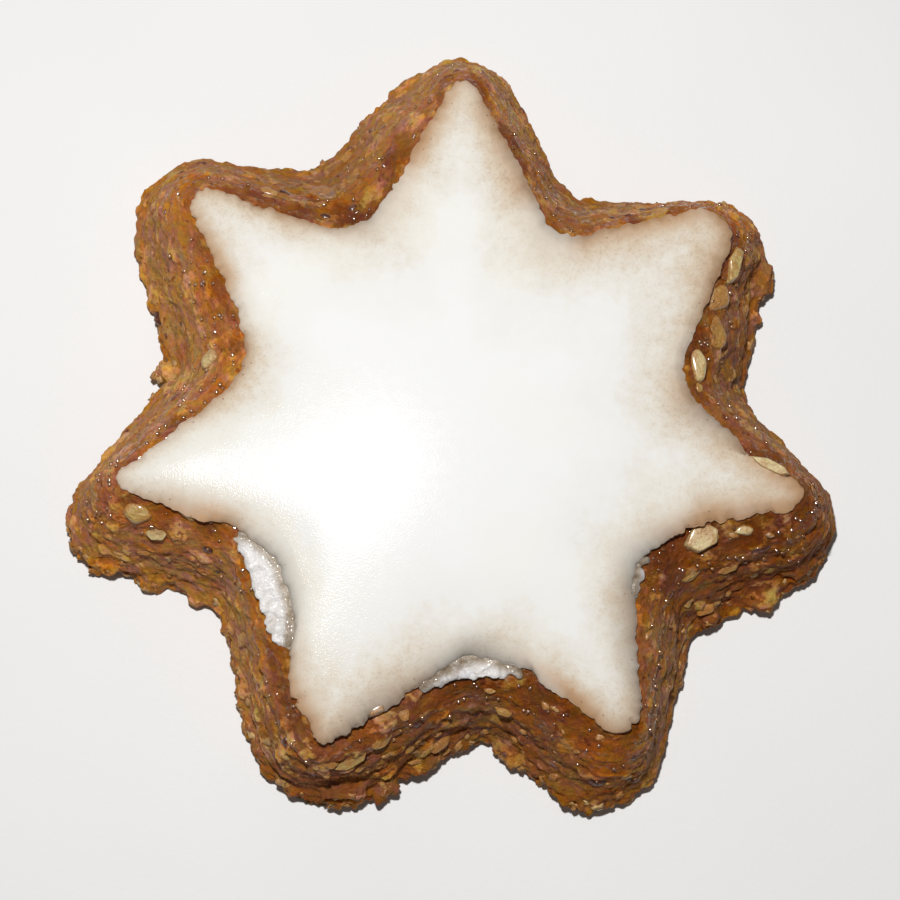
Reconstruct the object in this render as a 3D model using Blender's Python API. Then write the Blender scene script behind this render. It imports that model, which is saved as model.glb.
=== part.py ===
"""A cinnamon star: a seven-armed nut biscuit with a cap of white icing.

Run it with: blender --background --python part.py
Lengths are in millimetres until MM turns them into metres. +Z is up, the biscuit lies flat on z = 0,
and the origin is the middle of its underside.
"""

import math

import bmesh
import bpy
from mathutils import Vector, noise

MM = 0.001

# Each arm, counter-clockwise from the upper right one: bearing, reach and rounding of its tip, then bearing,
# depth and rounding of the valley after it. Bearings are degrees from +X, the rest is in millimetres.
ICING_ARMS = (
    (39.5, 26.8, 2.2, 63.5, 17.7, 3.0),
    (89.0, 27.9, 1.2, 115.0, 18.1, 4.6),
    (137.5, 27.4, 1.2, 163.0, 17.3, 5.2),
    (188.5, 26.4, 1.1, 209.0, 18.7, 5.8),
    (246.5, 26.2, 1.1, 274.5, 18.5, 8.0),
    (300.0, 26.1, 1.8, 326.5, 17.6, 6.4),
    (349.0, 27.0, 1.2, 373.0, 18.2, 4.0),
)
FOOT_ARMS = (
    (37.0, 30.6, 5.2, 64.0, 23.1, 4.6),
    (89.0, 32.3, 4.8, 115.5, 25.4, 2.4),
    (138.0, 32.2, 6.0, 166.5, 23.8, 4.0),
    (192.5, 31.1, 4.4, 216.0, 22.6, 2.3),
    (247.0, 30.6, 6.2, 275.0, 23.3, 1.4),
    (295.5, 31.2, 5.0, 322.0, 24.2, 2.3),
    (346.0, 31.1, 5.8, 371.0, 23.8, 2.2),
)
ARC_STEPS = 7
FLANK_STEPS = 5

# The dough's wall from the ground up: how far out from the icing's edge (0) to the foot (1), and its height.
WALL_PROFILE = (
    (0.90, 0.0),
    (1.00, 0.5),
    (0.98, 1.1),
    (0.86, 2.1),
    (0.74, 3.4),
    (0.64, 4.8),
    (0.52, 6.1),
    (0.38, 7.2),
    (0.22, 8.0),
    (0.06, 8.35),
)
DOUGH_EDGE_HEIGHT = 8.4
DOUGH_CROWN = 0.6
DOUGH_EDGE_INSET = 0.5

ICING_GAP = 0.3  # clear space between the two solids
ICING_EDGE_HEIGHT = 9.4
ICING_CROWN = 1.0
CROWN_POWER = 4  # a crown rises within a short way of the rim and is nearly flat in the middle
ICING_LIP = ((0.35, 8.72), (0.0, 8.95), (0.2, 9.2))  # inset and height of the rounded lip's rings
ICING_SHOULDER_INSET = 0.8
CROWN_SHARES = (0.93, 0.84, 0.7, 0.5, 0.25)  # rings over the crown, as shares of the way out from the middle
UNDER_SHARES = (0.84, 0.5)

RUFFLE_HEIGHT = 0.45  # how far the torn foot swings in and out
RUFFLE_LENGTH = 2.6
RUFFLE_START = 0.15  # shares below this stay smooth, under the icing


def polar(bearing, reach):
    """The point at this bearing in degrees and this reach from the middle."""
    angle = math.radians(bearing)
    return Vector((math.cos(angle), math.sin(angle))) * reach


def flank_normal(tip, tip_radius, valley, valley_radius, side):
    """Outward normal of the straight flank that touches a tip's circle and a valley's circle."""
    along = valley - tip
    share = (tip_radius + valley_radius) / along.length
    along.normalize()
    across = Vector((-along.y, along.x)) * side
    return along * share + across * math.sqrt(1 - share * share)


def arc(centre, radius, start, end):
    """(point, normal) pairs round a circle, from one normal to another. A valley's radius is negative."""
    first = math.atan2(start.y, start.x)
    turn = math.atan2(start.x * end.y - start.y * end.x, start.dot(end))
    pairs = []
    for step in range(ARC_STEPS + 1):
        angle = first + turn * step / ARC_STEPS
        normal = Vector((math.cos(angle), math.sin(angle)))
        pairs.append((centre + normal * radius, normal))
    return pairs


def star_outline(arms):
    """(point, normal) pairs round a star: tip arcs and valley arcs, joined by straight flanks."""
    tips = [(polar(bearing, reach - rounding), rounding) for bearing, reach, rounding, _, _, _ in arms]
    valleys = [(polar(bearing, depth + rounding), rounding) for _, _, _, bearing, depth, rounding in arms]
    arcs = []
    for i, tip in enumerate(tips):
        valley = valleys[i]
        following = tips[(i + 1) % len(tips)]
        came_in = flank_normal(*tip, *valleys[i - 1], 1)
        goes_out = flank_normal(*tip, *valley, -1)
        next_in = flank_normal(*following, *valley, 1)
        arcs.append(arc(*tip, came_in, goes_out))
        arcs.append(arc(valley[0], -valley[1], goes_out, next_in))
    outline = []
    for i, pairs in enumerate(arcs):
        outline += pairs
        here, normal = pairs[-1]
        there = arcs[(i + 1) % len(arcs)][0][0]
        outline += [(here.lerp(there, step / FLANK_STEPS), normal) for step in range(1, FLANK_STEPS)]
    return outline


def inset_ring(outline, inset, height):
    """The outline moved inwards by inset, at this height."""
    return [(point - normal * inset).to_3d() + Vector((0, 0, height)) for point, normal in outline]


def ruffle(place, share):
    """How far the torn wall stands proud of its even shape at this place."""
    if share <= RUFFLE_START:
        return 0.0
    torn = (share - RUFFLE_START) / (1 - RUFFLE_START)
    return RUFFLE_HEIGHT * torn * noise.noise(place / RUFFLE_LENGTH)


def wall_ring(inner, outer, share, height):
    """A ring of the wall, this share of the way from the icing's outline out to the foot's."""
    ring = []
    for (near, near_normal), (far, far_normal) in zip(inner, outer):
        place = near.lerp(far, share).to_3d() + Vector((0, 0, height))
        outward = near_normal.lerp(far_normal, share).normalized().to_3d()
        ring.append(place + outward * ruffle(place, share))
    return ring


def crown_ring(rim, share, edge_height, crown):
    """A ring over a crowned top, this share of the way out from the middle to the rim."""
    height = edge_height + crown * (1 - share**CROWN_POWER)
    return [Vector((point.x * share, point.y * share, height)) for point in rim]


def solid_of_rings(name, rings, foot_height, top_height, material, collection):
    """A closed solid through the rings, from the lowest inside one up to the top one."""
    shape = bmesh.new()
    loops = [[shape.verts.new(point * MM) for point in ring] for ring in rings]
    count = len(loops[0])
    for lower, upper in zip(loops, loops[1:]):
        for i in range(count):
            j = (i + 1) % count
            shape.faces.new((lower[i], lower[j], upper[j], upper[i]))
    for loop, height in ((loops[0], foot_height), (loops[-1], top_height)):
        middle = shape.verts.new((0, 0, height * MM))
        for i in range(count):
            shape.faces.new((loop[i], loop[(i + 1) % count], middle))
    bmesh.ops.recalc_face_normals(shape, faces=shape.faces)
    mesh = bpy.data.meshes.new(name)
    shape.to_mesh(mesh)
    shape.free()
    mesh.shade_smooth()
    mesh.materials.append(material)
    solid = bpy.data.objects.new(name, mesh)
    collection.objects.link(solid)
    return solid


def food_material(name, colour, roughness):
    material = bpy.data.materials.new(name)
    material.use_nodes = True
    surface = material.node_tree.nodes["Principled BSDF"]
    surface.inputs["Base Color"].default_value = (*colour, 1)
    surface.inputs["Roughness"].default_value = roughness
    return material


def make_dough(icing_edge, foot, collection):
    """The biscuit itself: flat underside, torn foot, leaning wall, rounded shoulder and crowned top."""
    rings = [wall_ring(icing_edge, foot, share, height) for share, height in WALL_PROFILE]
    rim = inset_ring(icing_edge, DOUGH_EDGE_INSET, DOUGH_EDGE_HEIGHT)
    rings.append(rim)
    rings += [crown_ring(rim, share, DOUGH_EDGE_HEIGHT, DOUGH_CROWN) for share in CROWN_SHARES]
    material = food_material("nut_dough", (0.36, 0.16, 0.055), 0.5)
    return solid_of_rings("dough", rings, 0, DOUGH_EDGE_HEIGHT + DOUGH_CROWN, material, collection)


def make_icing(icing_edge, collection):
    """The icing: an underside that follows the dough's crown, a rounded lip and a crowned top."""
    under_height = DOUGH_EDGE_HEIGHT + ICING_GAP
    rim = inset_ring(icing_edge, ICING_SHOULDER_INSET, ICING_EDGE_HEIGHT)
    rings = [crown_ring(rim, share, under_height, DOUGH_CROWN) for share in reversed(UNDER_SHARES)]
    rings += [inset_ring(icing_edge, inset, height) for inset, height in ICING_LIP]
    rings.append(rim)
    rings += [crown_ring(rim, share, ICING_EDGE_HEIGHT, ICING_CROWN) for share in CROWN_SHARES]
    material = food_material("white_icing", (0.86, 0.84, 0.78), 0.35)
    lowest_middle = under_height + DOUGH_CROWN
    highest = ICING_EDGE_HEIGHT + ICING_CROWN
    return solid_of_rings("icing", rings, lowest_middle, highest, material, collection)


def centre_over_origin(solids, outline):
    """Moves the solids so that the middle of the first one's box is over the origin."""
    corners = [vertex.co for vertex in outline.data.vertices]
    middle_x = (min(c.x for c in corners) + max(c.x for c in corners)) / 2
    middle_y = (min(c.y for c in corners) + max(c.y for c in corners)) / 2
    for solid in solids:
        for vertex in solid.data.vertices:
            vertex.co -= Vector((middle_x, middle_y, 0))


def main():
    for old in list(bpy.data.objects):
        bpy.data.objects.remove(old)
    collection = bpy.data.collections.new("cinnamon_star")
    bpy.context.scene.collection.children.link(collection)
    icing_edge = star_outline(ICING_ARMS)
    foot = star_outline(FOOT_ARMS)
    dough = make_dough(icing_edge, foot, collection)
    icing = make_icing(icing_edge, collection)
    centre_over_origin((dough, icing), dough)


main()
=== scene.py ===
# %% [markdown]
# # A cinnamon star
# This biscuit is cut from a soft dough of ground and chopped nuts with a seven-armed cutter, brushed with
# egg white icing and dried in a low oven. Two things make it look real: a wall that the cutter has torn
# into ledges, nuts and crumbs, and a smooth white cap whose thin rim has soaked up brown syrup.
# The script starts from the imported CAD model, which is the fixed frame, and builds every looked-at surface
# around it.

import math
import random

import bmesh
import bpy
import numpy as np
from mathutils import Matrix, Vector, noise
from mathutils.bvhtree import BVHTree
from mathutils.kdtree import KDTree


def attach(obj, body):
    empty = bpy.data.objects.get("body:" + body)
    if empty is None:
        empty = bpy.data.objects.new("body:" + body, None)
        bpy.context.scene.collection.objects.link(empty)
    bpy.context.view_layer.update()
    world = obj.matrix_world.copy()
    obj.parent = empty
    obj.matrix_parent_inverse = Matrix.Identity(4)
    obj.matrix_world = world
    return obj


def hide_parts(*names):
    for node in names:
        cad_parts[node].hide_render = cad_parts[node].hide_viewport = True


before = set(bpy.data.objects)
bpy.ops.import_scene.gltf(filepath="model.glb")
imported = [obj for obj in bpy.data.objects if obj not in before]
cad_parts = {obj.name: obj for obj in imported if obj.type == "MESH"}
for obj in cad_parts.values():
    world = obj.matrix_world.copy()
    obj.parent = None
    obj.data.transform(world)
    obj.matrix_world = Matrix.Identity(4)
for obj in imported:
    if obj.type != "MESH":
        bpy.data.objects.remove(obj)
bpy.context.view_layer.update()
print("CAD nodes:", sorted(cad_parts))

# %% [markdown]
# ## Camera
# The biscuit is looked at almost from above, from 26 cm away, so its walls show as a narrow band, a little
# wider on the near side. The lens is long enough for the biscuit to fill the frame.

# %% Camera
MM = 0.001
UP = Vector((0, 0, 1))

AIM = Vector((-0.4, -2.7, 5)) * MM
DISTANCE = 260 * MM
ELEVATION = math.radians(79)
AZIMUTH = math.radians(-12)
VIEW_WIDTH = 70.2 * MM
SENSOR = 36

camera_data = bpy.data.cameras.new("camera")
camera_data.sensor_width = SENSOR
camera_data.lens = SENSOR * DISTANCE / VIEW_WIDTH
camera_data.clip_start = MM
camera = bpy.data.objects.new("camera", camera_data)
bpy.context.scene.collection.objects.link(camera)
bpy.context.scene.camera = camera

back = Vector((
    math.sin(AZIMUTH) * math.cos(ELEVATION),
    -math.cos(AZIMUTH) * math.cos(ELEVATION),
    math.sin(ELEVATION),
))
across = Vector((0, 1, 0)).cross(back).normalized()
upward = back.cross(across)
turn = Matrix((across, upward, back)).transposed().to_4x4()
camera.matrix_world = Matrix.Translation(AIM + back * DISTANCE) @ turn
print("camera lens", round(camera_data.lens, 1), "mm")

# %% [markdown]
# ## Light and floor
# One round lamp close to the camera, up and to the left, gives the bright middle of the icing and the thin
# dark line at the foot of the lower right walls. A pale world fills the shadows. The colours are meant to
# come out as they are mixed, so the view transform is the plain one.

# %% Lamp and sky
LAMP_PLACE = Vector((-25, 30, 252)) * MM
LAMP_SIZE = 18 * MM
LAMP_POWER = 0.665
LAMP_COLOUR = (1.0, 0.99, 0.975)
SKY_STRENGTH = 0.09
SKY_COLOUR = (1.0, 0.995, 0.99, 1)

bpy.context.scene.view_settings.view_transform = "Standard"

lamp_data = bpy.data.lights.new("lamp", "AREA")
lamp_data.shape = "DISK"
lamp_data.size = LAMP_SIZE
lamp_data.energy = LAMP_POWER
lamp_data.color = LAMP_COLOUR
lamp = bpy.data.objects.new("lamp", lamp_data)
lamp.location = LAMP_PLACE
lamp.rotation_euler = LAMP_PLACE.to_track_quat("Z", "Y").to_euler()
bpy.context.scene.collection.objects.link(lamp)

world = bpy.data.worlds.new("studio")
bpy.context.scene.world = world
world.use_nodes = True
sky = world.node_tree.nodes["Background"]
sky.inputs["Color"].default_value = SKY_COLOUR
sky.inputs["Strength"].default_value = SKY_STRENGTH
print("lamp", LAMP_POWER, "W, sky", SKY_STRENGTH)

# %% Floor
FLOOR_HALF = 0.6

floor_shape = bmesh.new()
bmesh.ops.create_grid(floor_shape, x_segments=1, y_segments=1, size=FLOOR_HALF)
floor_mesh = bpy.data.meshes.new("floor")
floor_shape.to_mesh(floor_mesh)
floor_shape.free()
floor = bpy.data.objects.new("floor", floor_mesh)
bpy.context.scene.collection.objects.link(floor)
print("floor", 2 * FLOOR_HALF, "m wide")

# %% [markdown]
# ## Working in millimetres
# Blender's operators have merge distances and thresholds made for objects of a few metres. All shapes here
# are therefore made in millimetres, where the biscuit is 61 units wide, and scaled to metres as the very
# last step. These helpers copy a CAD node out into millimetres, and turn a finished shape into a piece.

# %% Shapes and pieces
MERGE_DISTANCE = 1e-7


def cad_shape(node):
    """A copy of a CAD node in millimetres, with its loose triangles merged."""
    shape = bmesh.new()
    shape.from_mesh(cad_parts[node].data)
    bmesh.ops.remove_doubles(shape, verts=shape.verts, dist=MERGE_DISTANCE)
    bmesh.ops.scale(shape, vec=Vector((1, 1, 1)) / MM, verts=shape.verts)
    return shape


def as_object(name, shape):
    """A plain object that holds the shape. The shape is used up."""
    mesh = bpy.data.meshes.new(name)
    shape.to_mesh(mesh)
    shape.free()
    thing = bpy.data.objects.new(name, mesh)
    bpy.context.scene.collection.objects.link(thing)
    return thing


def finished(thing):
    """The shape that an object has after its modifiers. The object is used up."""
    graph = bpy.context.evaluated_depsgraph_get()
    shape = bmesh.new()
    shape.from_mesh(thing.evaluated_get(graph).to_mesh())
    bpy.data.objects.remove(thing)
    return shape


def make_piece(name, shape, material):
    """Turns a shape in millimetres into a piece of the biscuit in metres."""
    bmesh.ops.scale(shape, vec=Vector((MM, MM, MM)), verts=shape.verts)
    piece = as_object(name, shape)
    piece.data.shade_smooth()
    piece.data.materials.append(material)
    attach(piece, "root")
    piece.data.calc_loop_triangles()
    print(name, len(piece.data.loop_triangles), "triangles")
    return piece


# %% Vertices as arrays
def places_of(shape):
    """The places and the normals of a shape's vertices, as two arrays."""
    shape.normal_update()
    places = np.array([vert.co for vert in shape.verts])
    normals = np.array([vert.normal for vert in shape.verts])
    return places, normals


def move_to(shape, places):
    for vert, place in zip(shape.verts, places):
        vert.co = place


def lift_off_floor(shape):
    """Presses whatever hangs below the floor back up to it."""
    for vert in shape.verts:
        vert.co.z = max(vert.co.z, 0.0)


def mark(shape, name, values):
    """Stores a number with each vertex, which a material can read as an attribute."""
    layer = shape.verts.layers.float.get(name) or shape.verts.layers.float.new(name)
    for vert, value in zip(shape.verts, values):
        vert[layer] = value


# %% Skins and thinning
def voxel_skin(shape, voxel):
    """The outer skin of a shape as an even net of small squares. Lumps that overlap become one body."""
    thing = as_object("skin", shape)
    remesh = thing.modifiers.new("skin", "REMESH")
    remesh.mode = "VOXEL"
    remesh.voxel_size = voxel
    return finished(thing)


def thinned(shape, plainness, ratio):
    """Fewer triangles where plainness, one number for each vertex, is above 0."""
    thing = as_object("thin", shape)
    group = thing.vertex_groups.new(name="plain")
    for i in np.flatnonzero(plainness > 0).tolist():
        group.add([i], float(plainness[i]), "REPLACE")
    decimate = thing.modifiers.new("thin", "DECIMATE")
    decimate.ratio = ratio
    decimate.vertex_group = "plain"
    return finished(thing)


# %% [markdown]
# ## Noise that follows the dough
# Baked dough is never even. Smooth noise gives lumps of a chosen size, and squashed noise gives the long
# flat streaks that a cutter leaves as it is pressed down. Voronoi cells give flakes with a crack round each.
# Displace modifiers could push the wall as well, but noise worked out here can also be passed on to colours.

# %% Noise
def lumps(places, size, seed):
    """Smooth noise at each place, from about -1 to 1. The size is one length or one for each axis."""
    return np.array([noise.noise(place) for place in (places / size + seed).tolist()])


def flakes(places, size, seed):
    """For each place, how far inside its flake it is (0 in the crack), and a random share for its flake."""
    inside = []
    shares = []
    for place in (places / size + seed).tolist():
        distances, middles = noise.voronoi(place)
        inside.append(distances[1] - distances[0])
        shares.append(noise.cell(middles[0] * 7))
    return np.array(inside), np.array(shares)


def ease(low, high, values):
    """0 up to low, 1 from high on, and a smooth step in between."""
    share = np.clip((values - low) / (high - low), 0, 1)
    return share * share * (3 - 2 * share)


print("noise one lump away from the middle", lumps(np.array([[1.2, 0.3, 0.7]]), 1.0, 0.0).round(3))

# %% [markdown]
# ## Places on the wall
# Details are placed by bearing, in degrees from +X, and by height in millimetres, the way one would point
# at them on the real biscuit. A ray shot inwards from outside finds the wall there.

# %% Places on the wall
WELL_OUTSIDE = 50
NEARLY_LEVEL = 0.05


def on_wall(tree, bearing, height):
    """The wall's place at this bearing and height, and the direction it faces."""
    angle = math.radians(bearing)
    outward = Vector((math.cos(angle), math.sin(angle), 0))
    place, normal, _, _ = tree.ray_cast(outward * WELL_OUTSIDE + UP * height, -outward)
    return place, normal


def facing(place, normal, lean=0.0):
    """A matrix at this place: z along the normal, x level along the wall, turned by lean degrees."""
    level = UP.cross(normal)
    if level.length < NEARLY_LEVEL:
        level = Vector((1, 0, 0))
    level.normalize()
    up = normal.cross(level).normalized()
    axes = Matrix((level, up, normal.normalized())).transposed().to_4x4()
    return Matrix.Translation(place) @ axes @ Matrix.Rotation(math.radians(lean), 4, "Z")


dough_shape = cad_shape("dough")
smooth_wall = BVHTree.FromBMesh(dough_shape)
print("wall reach at 0 degrees", round(on_wall(smooth_wall, 0, 3)[0].x, 2), "mm")

# %% [markdown]
# ## Round the biscuit
# Many things change as one goes round: where the cut is clean, where it is torn, where the icing drew back.
# Such an amount is given as a few soft bumps over the bearing. The icing's rim, the widest line of its CAD
# solid, is the other guide: how far outside it or inside it a place lies, and which way is out.

# %% Bumps round the biscuit
def round_sum(bearings, stretches):
    """The sum of soft bumps round the biscuit, each with a middle bearing, a half width and an amount."""
    total = np.zeros(len(bearings))
    for middle, half_width, amount in stretches:
        away = np.mod(bearings - middle + 180, 360) - 180
        total += amount * np.exp(-((away / half_width) ** 2))
    return total


def bearings_of(places):
    return np.degrees(np.arctan2(places[:, 1], places[:, 0]))


# %% The icing's rim
RIM_SPACING = 0.1
SAME_HEIGHT = 0.01


def rim_line(shape):
    """Places all along the shape's widest line, and the way out over it at each of them."""
    height = max(shape.verts, key=lambda vert: vert.co.x).co.z
    shape.normal_update()
    places = []
    ways_out = []
    for edge in shape.edges:
        start, end = (vert.co for vert in edge.verts)
        if max(abs(start.z - height), abs(end.z - height)) > SAME_HEIGHT:
            continue
        along = end - start
        way_out = Vector((along.y, -along.x, 0)).normalized()
        if way_out.dot(edge.verts[0].normal + edge.verts[1].normal) < 0:
            way_out.negate()
        for step in range(max(1, round(along.length / RIM_SPACING))):
            places.append(start + along * (step * RIM_SPACING / along.length))
            ways_out.append(way_out)
    return np.array(places), np.array(ways_out)


icing_shape = cad_shape("icing")
rim_places, rim_ways_out = rim_line(icing_shape)
RIM_HEIGHT = float(rim_places[0, 2])
rim_tree = KDTree(len(rim_places))
for i, (x, y, _) in enumerate(rim_places.tolist()):
    rim_tree.insert((x, y, 0), i)
rim_tree.balance()
print("rim", round(len(rim_places) * RIM_SPACING), "mm long at", round(RIM_HEIGHT, 2), "mm")


# %% Distance from the rim
def rim_distance(places):
    """For each place, how far it lies outside the rim, below 0 if inside, and the way out over the rim."""
    nearest = [rim_tree.find((x, y, 0)) for x, y, _ in places.tolist()]
    numbers = [found[1] for found in nearest]
    distance = np.array([found[2] for found in nearest])
    way_out = rim_ways_out[numbers]
    beyond = ((places - rim_places[numbers]) * way_out).sum(axis=1) > 0
    return np.where(beyond, distance, -distance), way_out


middle_distance, _ = rim_distance(np.zeros((1, 3)))
print("the middle lies", round(-float(middle_distance[0]), 1), "mm inside the rim")

# %% [markdown]
# ## Dough: the lumps at the foot
# Where the cutter met the board it squeezed dough outwards and tore some of it off, so lumps stand proud
# at the foot. They could be stuck on as separate blobs, but real ones have no seam. Here flattened balls
# are pushed half into the CAD solid, and the voxel skin melts everything into one body.

# %% Foot lumps
# Bearing in degrees, then height, half length along the wall, half height and how far out, all in mm.
FOOT_LUMPS = (
    (98, 0.9, 1.5, 0.8, 0.5),
    (34, 4.2, 1.5, 2.4, 0.6),
    (25, 1.3, 1.9, 1.2, 0.9),
    (20, 1.0, 1.4, 0.8, 0.5),
    (330, 1.3, 1.5, 0.9, 0.8),
    (323, 1.7, 1.0, 0.8, 0.9),
    (337, 2.4, 1.6, 1.0, 0.3),
    (286, 1.5, 2.2, 1.1, 0.5),
    (279, 1.4, 1.4, 0.8, 0.5),
    (265, 1.4, 1.7, 0.8, 0.8),
    (260, 1.2, 1.3, 0.8, 0.7),
    (254, 2.0, 2.2, 1.3, 0.5),
    (233, 1.8, 1.2, 1.2, 0.4),
    (215, 0.9, 1.0, 0.7, 0.4),
    (209, 1.1, 1.3, 0.9, 0.2),
    (203, 1.3, 1.6, 1.0, 0.35),
    (198, 2.0, 2.2, 1.7, 0.2),
    (170, 1.2, 0.8, 0.7, 0.8),
    (161, 1.8, 1.5, 0.9, 0.3),
    (127, 2.6, 2.0, 0.7, 0.3),
    (66, 1.4, 1.5, 0.6, 0.4),
)
LUMP_THICKNESS = 0.6


def add_lump(shape, tree, bearing, height, half_length, half_height, proud):
    place, normal = on_wall(tree, bearing, height)
    thickness = max(proud, LUMP_THICKNESS)
    sunk = facing(place + normal * (proud - thickness), normal)
    size = Matrix.Diagonal((half_length, half_height, thickness, 1))
    bmesh.ops.create_icosphere(shape, subdivisions=3, radius=1, matrix=sunk @ size)


for lump in FOOT_LUMPS:
    add_lump(dough_shape, smooth_wall, *lump)
print(len(FOOT_LUMPS), "lumps at the foot")

# %% Dough skin
DOUGH_VOXEL = 0.2

dough_shape = voxel_skin(dough_shape, DOUGH_VOXEL)
print("dough skin", len(dough_shape.verts), "vertices")

# %% [markdown]
# ## Dough: ledges, flakes and torn crumbs
# The wall's relief is worked out at every vertex and pushes it in or out, mostly level, so that ledges can
# overhang. These add up: flat layers from the rolling pin, long streaks from the cutter, flakes with cracks
# round them, ground nut and grit as small domes, plain lumps, and torn lumps at the foot. A sculpted wall
# would look as good, but only noise can be read, changed and made again. One side was cut cleaner than the
# other, so the amounts change round the biscuit, as soft bumps over the bearing.

# %% Clean and torn stretches
# Each stretch of the wall has a middle bearing, a half width in degrees and an amount.
# Where flat layers stand out as ledges.
LEDGED = (
    (252, 16, 0.85), (285, 14, 0.25), (330, 16, 0.75), (15, 14, 0.5),
    (203, 14, 0.2),
)
# Where the foot is torn.
TORN = (
    (203, 11, 0.9), (232, 6, 0.3), (258, 17, 1), (288, 9, 0.9),
    (331, 9, 0.8), (21, 9, 0.6), (168, 6, 0.7), (107, 9, 0.5),
)
# Where the whole wall leans out further or, below 0, less far, in mm.
LEANT_OUT = (
    (11, 11, 0.4), (24, 4, -0.5), (50, 12, 0.25), (76, 9, 0.3),
    (103, 4, 0.7), (112, 6, 0.15), (134, 12, 0.2), (237, 6, 0.3),
    (252, 6, -0.5), (313, 12, 0.25), (330, 5, -0.35), (351, 8, 0.35),
)
# Where the foot curls in under the wall.
CURLED_UNDER = (
    (2, 16, 0.55), (25, 9, 0.35), (308, 13, 0.5), (340, 9, 0.4),
    (262, 20, 0.3),
)
# Where the icing kept a thick round edge, with a recess in the dough below it. Elsewhere the dough comes up
# to the rim.
THICK_EDGES = (
    (224, 10, 1), (273, 12, 1), (254, 5, 0.6), (317, 11, 0.9),
    (303, 5, 0.5), (357, 5, 0.6), (62, 8, 0.4), (115, 7, 0.4),
)
print("torn most at", max(TORN, key=lambda stretch: stretch[2])[0], "degrees")

# %% Soaked, browned and shaded stretches
# How much syrup the wall soaked up: below 0 it stayed dry and mauve, above 0 it turned orange to dark red.
SOAKED = (
    (292, 8, 0.35), (199, 8, 0.2), (255, 8, -0.3), (268, 6, 0.15),
    (335, 13, 0.38), (35, 5, 0.4), (309, 9, -0.4), (1, 12, -0.2),
    (62, 12, -0.25), (96, 10, -0.2), (150, 8, -0.2), (176, 8, -0.2),
)
# Where syrup shines through the upper wall as a clear orange glow.
GLOWING = (
    (293, 5, 1), (281, 4, 0.4), (268, 4, 0.3), (141, 7, 0.7),
    (155, 4, 0.4), (37, 5, 1), (344, 5, 0.4), (198, 5, 0.4),
)
# Where the wall is made darker: partly where the oven browned it most, partly painted shade on the sides
# turned from the lamp.
BROWNED_AND_SHADED = (
    (2, 20, 0.55), (275, 18, 0.8), (308, 22, 0.6), (335, 16, 0.4),
    (62, 16, 0.7), (92, 12, 0.1), (120, 16, 0.65),
)
print("browned and shaded most at", max(BROWNED_AND_SHADED, key=lambda stretch: stretch[2])[0], "degrees")

# %% Wall relief
LAYER_HEIGHT = 2.1
# The lengths of the wall's noises in mm, along the wall twice and then up it.
STREAK_SIZE = np.array((3.0, 3.0, 0.5))
FINE_STREAK_SIZE = np.array((1.4, 1.4, 0.28))
FLAKE_SIZE = np.array((1.9, 1.9, 1.0))
GROUND_NUT_SIZE = np.array((1.25, 1.25, 0.85))
GRIT_SIZE = np.array((0.62, 0.62, 0.5))
HUE_PATCH_SIZE = np.array((1.9, 1.9, 1.1))
# How far they stand out, in mm.
LEDGE_DEPTH = 0.3
NUT_DEPTH = 0.2
GRIT_DEPTH = 0.1
LUMP_DEPTH = 0.14
CURL_DEPTH = 1.1
MIDDLE_HUE = 0.45


def wall_relief(places):
    """How far the wall stands out at each place, and the marks its material reads there."""
    heights = places[:, 2]
    bearings = bearings_of(places)
    ledged = 0.15 + round_sum(bearings, LEDGED)
    torn = (0.15 + round_sum(bearings, TORN)) * ease(3.2, 0.6, heights)
    bent = heights + 1.0 * lumps(places, 7.0, seed=3.1) + 0.35 * lumps(places, 2.4, seed=8.7)
    layer = 1 - np.abs(2 * np.mod(bent / LAYER_HEIGHT, 1) - 1)
    streaks = lumps(places, STREAK_SIZE, seed=5.3) + 0.5 * lumps(places, FINE_STREAK_SIZE, seed=9.9)
    inside, share = flakes(places, FLAKE_SIZE, seed=2.2)
    crack = (1 - ease(0.0, 0.22, inside)) * (0.25 + 0.75 * np.minimum(1, ledged))
    in_nut, nut_share = flakes(places, GROUND_NUT_SIZE, seed=33.7)
    ground_nut = ease(0.0, 0.45, in_nut) * ease(0.35, 0.75, nut_share)
    in_grit, grit_share = flakes(places, GRIT_SIZE, seed=58.3)
    grit = ease(0.0, 0.35, in_grit) * grit_share
    in_patch, hue = flakes(places, HUE_PATCH_SIZE, seed=71.9)
    hue = MIDDLE_HUE + (hue - MIDDLE_HUE) * ease(0.0, 0.35, in_patch)
    unbroken = ease(-0.5, 0.2, lumps(places, 8.0, seed=21.4))
    relief = LEDGE_DEPTH * (ease(0.0, 0.7, layer) - 0.6) * ledged * unbroken
    relief += (0.05 + 0.13 * ledged) * streaks
    relief += (0.05 + 0.2 * ledged) * ((share - 0.5) * ease(0.0, 0.35, inside) - 0.3 * crack)
    relief += NUT_DEPTH * (ground_nut - 0.4) + GRIT_DEPTH * (grit - 0.4)
    relief += LUMP_DEPTH * lumps(places, 1.1, seed=14.2)
    crumbly = 0.5 * lumps(places, 1.7, seed=41.0) + 0.5 * lumps(places, 0.75, seed=47.0)
    relief += torn * (crumbly + 0.34 * lumps(places, 0.4, seed=53.0))
    relief += round_sum(bearings, LEANT_OUT)
    relief -= CURL_DEPTH * round_sum(bearings, CURLED_UNDER) * ease(1.5, 0.2, heights)
    return relief, {
        "crack": crack,
        "mixture": 0.4 * share + 0.35 * nut_share + 0.25 * grit_share,
        "hue": hue,
        "ground_nut": ground_nut * nut_share,
        "ledged": ledged,
    }


# %% Pushing the wall in and out
MOSTLY_LEVEL = np.array((1, 1, 0.35))
UPPER_DOUGH = 6.5
RISE_AT_RIM = 0.55
RECESS_AT_RIM = 0.6

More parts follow.
